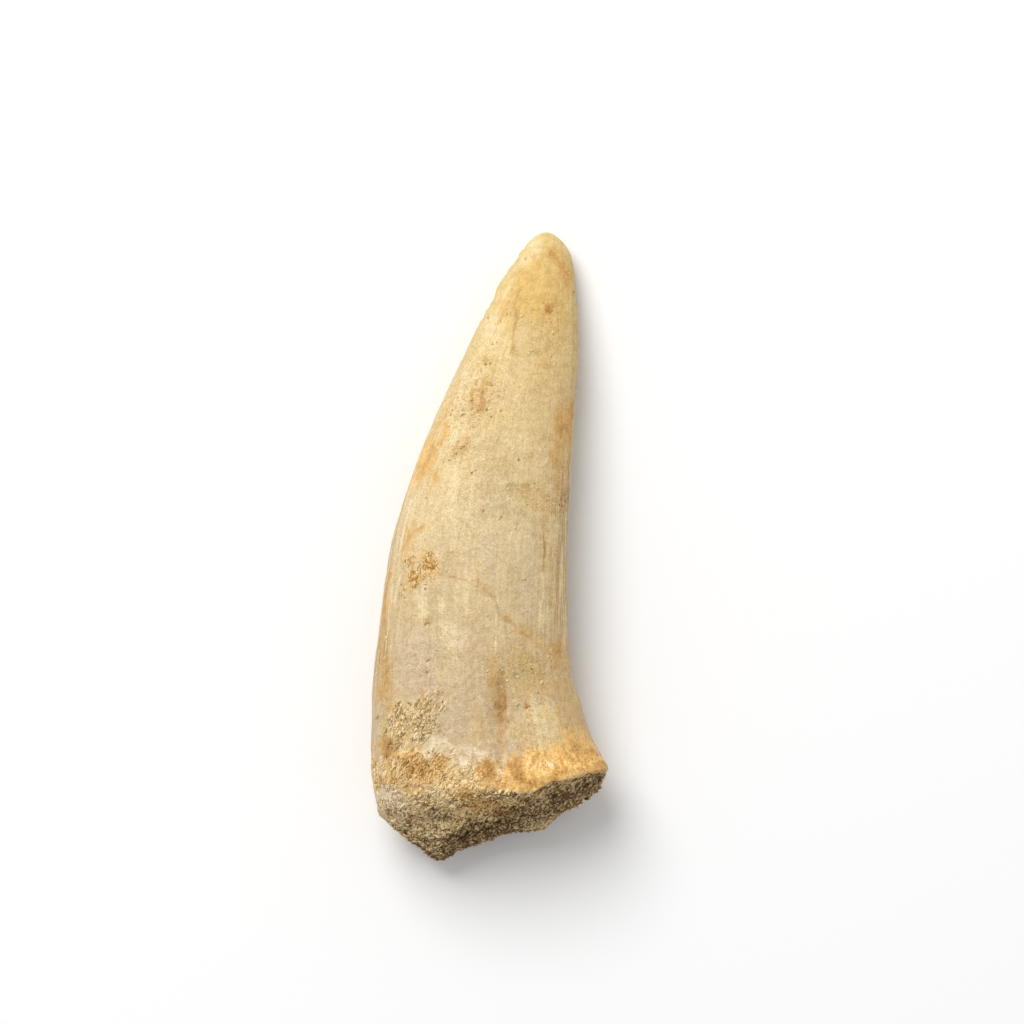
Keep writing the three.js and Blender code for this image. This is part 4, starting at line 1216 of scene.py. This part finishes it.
def break_ground(finished, sites, rng):
    """The ground colours on the break: painted shade low down and where it faces down, paler as painted light
    away from that shade and most on the left, and in its lit patches.
    """
    colours = bpy.context.scene.fossil_tooth_colours
    names = ("shade", "pooled_shade", "chalk", "painted_light", "orange")
    shade, pooled_shade, chalk, painted_light, orange = (finished.shares[name][sites] for name in names)
    patches = 0.5 + 0.5 * waves(finished.points[sites], "patches")
    left = smoothstep(-finished.points[sites, 0], -1.0, 3.0)
    return tinted(colours.matrix, (
        (smoothstep(patches, 0.3, 0.7), colours.crust),
        ((0.2 + 0.65 * left) * (1 - shade), colours.crust_pale),
        (0.95 * shade, colours.matrix_in_shade),
        (0.8 * pooled_shade, colours.dark),
        (chalk, colours.chalk),
        (0.75 * painted_light, colours.chalk),
        (0.8 * orange, colours.rust),
    ))


def crust_ground(finished, sites, rng):
    """The ground colours on the crust: greyer high up, with the stains of the enamel running through."""
    colours = bpy.context.scene.fossil_tooth_colours
    patches = 0.5 + 0.5 * waves(finished.points[sites], "patches")
    high = smoothstep(finished.points[sites, 1], -14.5, -12.5)
    stains = {}
    for name in ("olive", "chalk", "orange", "brown"):
        stains[name] = smoothstep(finished.shares[name][sites], 0.1, 0.8)
    return tinted(colours.crust, (
        (np.maximum(smoothstep(patches, 0.35, 0.9), 0.7 * high), colours.crust_pale),
        (0.8 * high, colours.grey),
        (0.85 * stains["olive"], colours.olive),
        (stains["chalk"], colours.chalk),
        (0.8 * stains["orange"], colours.rust),
        (0.8 * stains["brown"], colours.brown),
    ))


def rosette_ground(finished, sites, rng):
    """The ground colours of the crystals."""
    colours = bpy.context.scene.fossil_tooth_colours
    return tinted(colours.rosette, ((0.8 * rng.random(len(sites)), colours.crust_pale),))


def crumb_ground(finished, sites, rng):
    """The ground colours of the crumbs on the enamel."""
    colours = bpy.context.scene.fossil_tooth_colours
    return tinted(colours.crust_pale, ((0.5 * rng.random(len(sites)), colours.crust),))


def add_material(obj, material):
    obj.data.materials.append(material)


def dress(obj):
    """Says what the piece rides on."""
    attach(obj, BODY)


def length_property(name, description, default):
    return bpy.props.FloatProperty(name=name, description=description, default=default, min=0, unit="LENGTH")


class FossilToothSizes(bpy.types.PropertyGroup):
    skin_columns: bpy.props.IntProperty(
        name="Skin columns", description="Points round the tooth", default=340, min=60, max=345
    )
    stria_height: length_property("Growth lines", "Height of the fine lines along the crown", 0.022 * MM)
    break_grain: length_property("Break grain", "Mean width of the sand on the break", 0.105 * MM)
    crust_grain: length_property("Crust grain", "Mean width of the sand on the flanks", 0.07 * MM)
    crumb: length_property("Crumb", "Mean width of the grains on the clean enamel", 0.09 * MM)
    rosette_grain: length_property("Rosette grain", "Mean width of the brown crystals", 0.11 * MM)


def colour_property(name, description, default):
    return bpy.props.FloatVectorProperty(
        name=name, description=description, default=default, size=3, min=0, max=1, subtype="COLOR"
    )


class FossilToothColours(bpy.types.PropertyGroup):
    tip: colour_property("Tip", "Cream of the tip", (0.72, 0.53, 0.20))
    upper: colour_property("Upper crown", "Warm cream of the upper crown", (0.745, 0.545, 0.25))
    middle: colour_property("Middle crown", "Cream of the middle of the crown", (0.72, 0.56, 0.315))
    lower: colour_property("Lower crown", "Beige of the lower crown", (0.60, 0.436, 0.237))
    pale: colour_property("Pale", "Pale worn enamel", (0.84, 0.68, 0.395))
    chalk: colour_property("Chalk", "Whitest enamel, above the crust", (0.80, 0.665, 0.455))
    scratch: colour_property("Scratch", "Thin pale scratches", (0.92, 0.80, 0.54))
    grey: colour_property("Grey", "Pinkish grey enamel", (0.62, 0.484, 0.318))
    olive: colour_property("Olive", "Olive mottling", (0.565, 0.42, 0.19))
    ochre: colour_property("Ochre", "Ochre stain", (0.65, 0.42, 0.165))
    gold: colour_property("Gold", "Golden enamel of the rim", (0.90, 0.54, 0.165))
    honey: colour_property("Honey", "Clear yellow enamel of the tip", (0.695, 0.465, 0.148))
    orange: colour_property("Orange", "Orange stain", (0.56, 0.29, 0.075))
    glow: colour_property("Glow", "Soft glow round the orange stains", (0.71, 0.425, 0.135))
    brown: colour_property("Brown", "Brown stain", (0.34, 0.165, 0.04))
    furrow: colour_property("Furrow", "Soft brown of the furrow and the healed cracks", (0.44, 0.235, 0.065))
    pit: colour_property("Pit", "Dirt in the pits and cracks of the enamel", (0.33, 0.17, 0.035))
    crust: colour_property("Crust", "Sandy crust", (0.89, 0.63, 0.28))
    crust_pale: colour_property("Pale crust", "Pale grains of the crust", (0.82, 0.65, 0.355))
    rust: colour_property("Rust", "Rusty grains of the crust", (0.72, 0.42, 0.11))
    # gap is painted shade in the hollows between the crust's grains.
    gap: colour_property("Gap", "Dirt between the grains of the crust", (0.43, 0.285, 0.115))
    rosette: colour_property("Rosette", "Rusty ground of the rosettes", (0.78, 0.50, 0.19))
    curl: colour_property("Curl", "Brown curls of the rosettes", (0.42, 0.21, 0.045))
    matrix: colour_property("Matrix", "Sandy matrix of the break", (0.74, 0.53, 0.24))
    # matrix_in_shade is painted shade on the lower part of the break.
    matrix_in_shade: colour_property("Dark matrix", "Dark lower part of the matrix", (0.27, 0.15, 0.05))
    # dark is painted shade: the break's deep gaps, its pools of painted shadow and the shadow under its rim.
    dark: colour_property("Dark", "Deep gaps of the break", (0.15, 0.08, 0.026))


class FossilStageSettings(bpy.types.PropertyGroup):
    floor_size: bpy.props.FloatProperty(
        name="Floor", description="Side of the floor", default=3.0, unit="LENGTH"
    )
    floor_colour: colour_property("Floor colour", "Colour of the floor", (0.9, 0.9, 0.9))
    key_power: bpy.props.FloatProperty(
        name="Key light", description="Power of the main light in watts", default=2.42, unit="POWER"
    )
    sky_strength: bpy.props.FloatProperty(
        name="Sky", description="Strength of the light from all round", default=0.55
    )


class FOSSIL_OT_tooth_skin(bpy.types.Operator):
    """Build the skin of the whole tooth"""

    bl_idname = "fossil.tooth_skin"
    bl_label = "Tooth skin"

    def execute(self, context):
        finished = finished_skin(context.scene.fossil_tooth_sizes.skin_columns)
        obj = skin_object(finished)
        add_material(obj, enamel_finish(context.scene.fossil_tooth_colours))
        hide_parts(NODE)
        dress(obj)
        return {"FINISHED"}


class FOSSIL_OT_sand(bpy.types.Operator):
    """Stick sand to the break and the crusts, and crystals in the rosettes"""

    bl_idname = "fossil.sand"
    bl_label = "Sand"

    def execute(self, context):
        sizes = context.scene.fossil_tooth_sizes
        finished = finished_skin(sizes.skin_columns)
        points, shares = finished.points, finished.shares
        crust, matrix, rosette = shares["crust"], shares["matrix"], shares["rosette"]
        plan = np.where(finished.normals[:, 2:] > 0, in_steps(points[:, :2]), 0)
        crumbs = [np.argmin(np.hypot(*(plan - place).T)) for place in CRUMBS]
        littered = (0.08 + shares["pitted"]) * (1 - crust) * (1 - matrix)
        material = sand_finish()
        for name, weight, width, ground, placed in (
            ("break_sand", matrix, sizes.break_grain, break_ground, ()),
            ("crust_sand", crust**2, sizes.crust_grain, crust_ground, ()),
            ("rosette_crystals", rosette**2, sizes.rosette_grain, rosette_ground, ()),
            ("enamel_crumbs", littered, sizes.crumb, crumb_ground, crumbs),
        ):
            obj = scatter(name, finished, weight, width, ground, placed)
            add_material(obj, material)
            dress(obj)
        return {"FINISHED"}


class FOSSIL_OT_stage(bpy.types.Operator):
    """Lay the floor and set up the lights and the camera"""

    bl_idname = "fossil.stage"
    bl_label = "Stage"

    def execute(self, context):
        settings = context.scene.fossil_stage_settings
        add_floor(settings)
        add_lights(settings)
        add_camera()
        context.scene.view_settings.view_transform = "Standard"
        return {"FINISHED"}


BUMP_HEIGHT = 0.07 * MM  # of the finest relief, which is in the finish only
FLOOR_GAP = 0.02 * MM  # keeps the floor clear of the faces that rest on it
LENS = 250.0  # mm
SENSOR = 36.0  # mm
VIEW_WIDTH = VIEW_STEPS / STEPS_PER_MM * MM  # the camera takes in this much at the tooth's middle height
VIEW_OFFSET = (1.467 * MM, 2.267 * MM)  # from the tooth's middle to the view's
MIDDLE_HEIGHT = 3.0 * MM
KEY_PLACE = (-0.16, 0.30, 0.42)
KEY_SIZE = 0.35


def add_floor(settings):
    half = settings.floor_size / 2
    mesh = bpy.data.meshes.new("floor")
    corners = [(x * half, y * half, -FLOOR_GAP) for x, y in ((-1, -1), (1, -1), (1, 1), (-1, 1))]
    mesh.from_pydata(corners, [], [(0, 1, 2, 3)])
    floor = added("floor", mesh)
    finish = Finish("pale_floor")
    finish.put(finish.shader.inputs["Base Color"], settings.floor_colour)
    finish.put(finish.shader.inputs["Roughness"], 0.9)
    add_material(floor, finish.material)


def add_lights(settings):
    light = bpy.data.lights.new("key", "AREA")
    light.shape = "DISK"
    light.size = KEY_SIZE
    light.energy = settings.key_power
    key = added("key", light)
    key.location = KEY_PLACE
    key.rotation_euler = (-key.location).to_track_quat("-Z", "Y").to_euler()
    world = bpy.data.worlds.new("sky")
    world.use_nodes = True
    light_all_round = world.node_tree.nodes["Background"].inputs
    light_all_round["Color"].default_value = (1, 1, 1, 1)
    light_all_round["Strength"].default_value = settings.sky_strength
    bpy.context.scene.world = world


def add_camera():
    low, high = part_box(NODE)
    middle = (low + high) / 2
    camera = added("camera", bpy.data.cameras.new("camera"))
    camera.data.lens = LENS
    camera.data.sensor_width = SENSOR
    camera.data.clip_start = 10 * MM
    distance = VIEW_WIDTH * LENS / SENSOR
    camera.location = (middle.x + VIEW_OFFSET[0], middle.y + VIEW_OFFSET[1], MIDDLE_HEIGHT + distance)
    bpy.context.scene.camera = camera


PIECES = (FOSSIL_OT_tooth_skin, FOSSIL_OT_sand, FOSSIL_OT_stage)


class FOSSIL_PT_panel(bpy.types.Panel):
    """Lists the pieces of the fossil tooth and their settings"""

    bl_idname = "FOSSIL_PT_panel"
    bl_label = "Fossil Tooth"
    bl_space_type = "VIEW_3D"
    bl_region_type = "UI"
    bl_category = "Fossil Tooth"

    def draw(self, context):
        layout = self.layout
        for operator in PIECES:
            layout.operator(operator.bl_idname)
        for group in (
            context.scene.fossil_tooth_sizes,
            context.scene.fossil_tooth_colours,
            context.scene.fossil_stage_settings,
        ):
            for name in group.__annotations__:
                layout.prop(group, name)


CLASSES = (FossilToothSizes, FossilToothColours, FossilStageSettings, *PIECES, FOSSIL_PT_panel)


def register():
    for cls in CLASSES:
        bpy.utils.register_class(cls)
    bpy.types.Scene.fossil_tooth_sizes = bpy.props.PointerProperty(type=FossilToothSizes)
    bpy.types.Scene.fossil_tooth_colours = bpy.props.PointerProperty(type=FossilToothColours)
    bpy.types.Scene.fossil_stage_settings = bpy.props.PointerProperty(type=FossilStageSettings)


def unregister():
    del bpy.types.Scene.fossil_stage_settings
    del bpy.types.Scene.fossil_tooth_colours
    del bpy.types.Scene.fossil_tooth_sizes
    for cls in reversed(CLASSES):
        bpy.utils.unregister_class(cls)


def main():
    register()
    bpy.ops.fossil.tooth_skin()
    bpy.ops.fossil.sand()
    bpy.ops.fossil.stage()


if __name__ == "__main__":
    main()
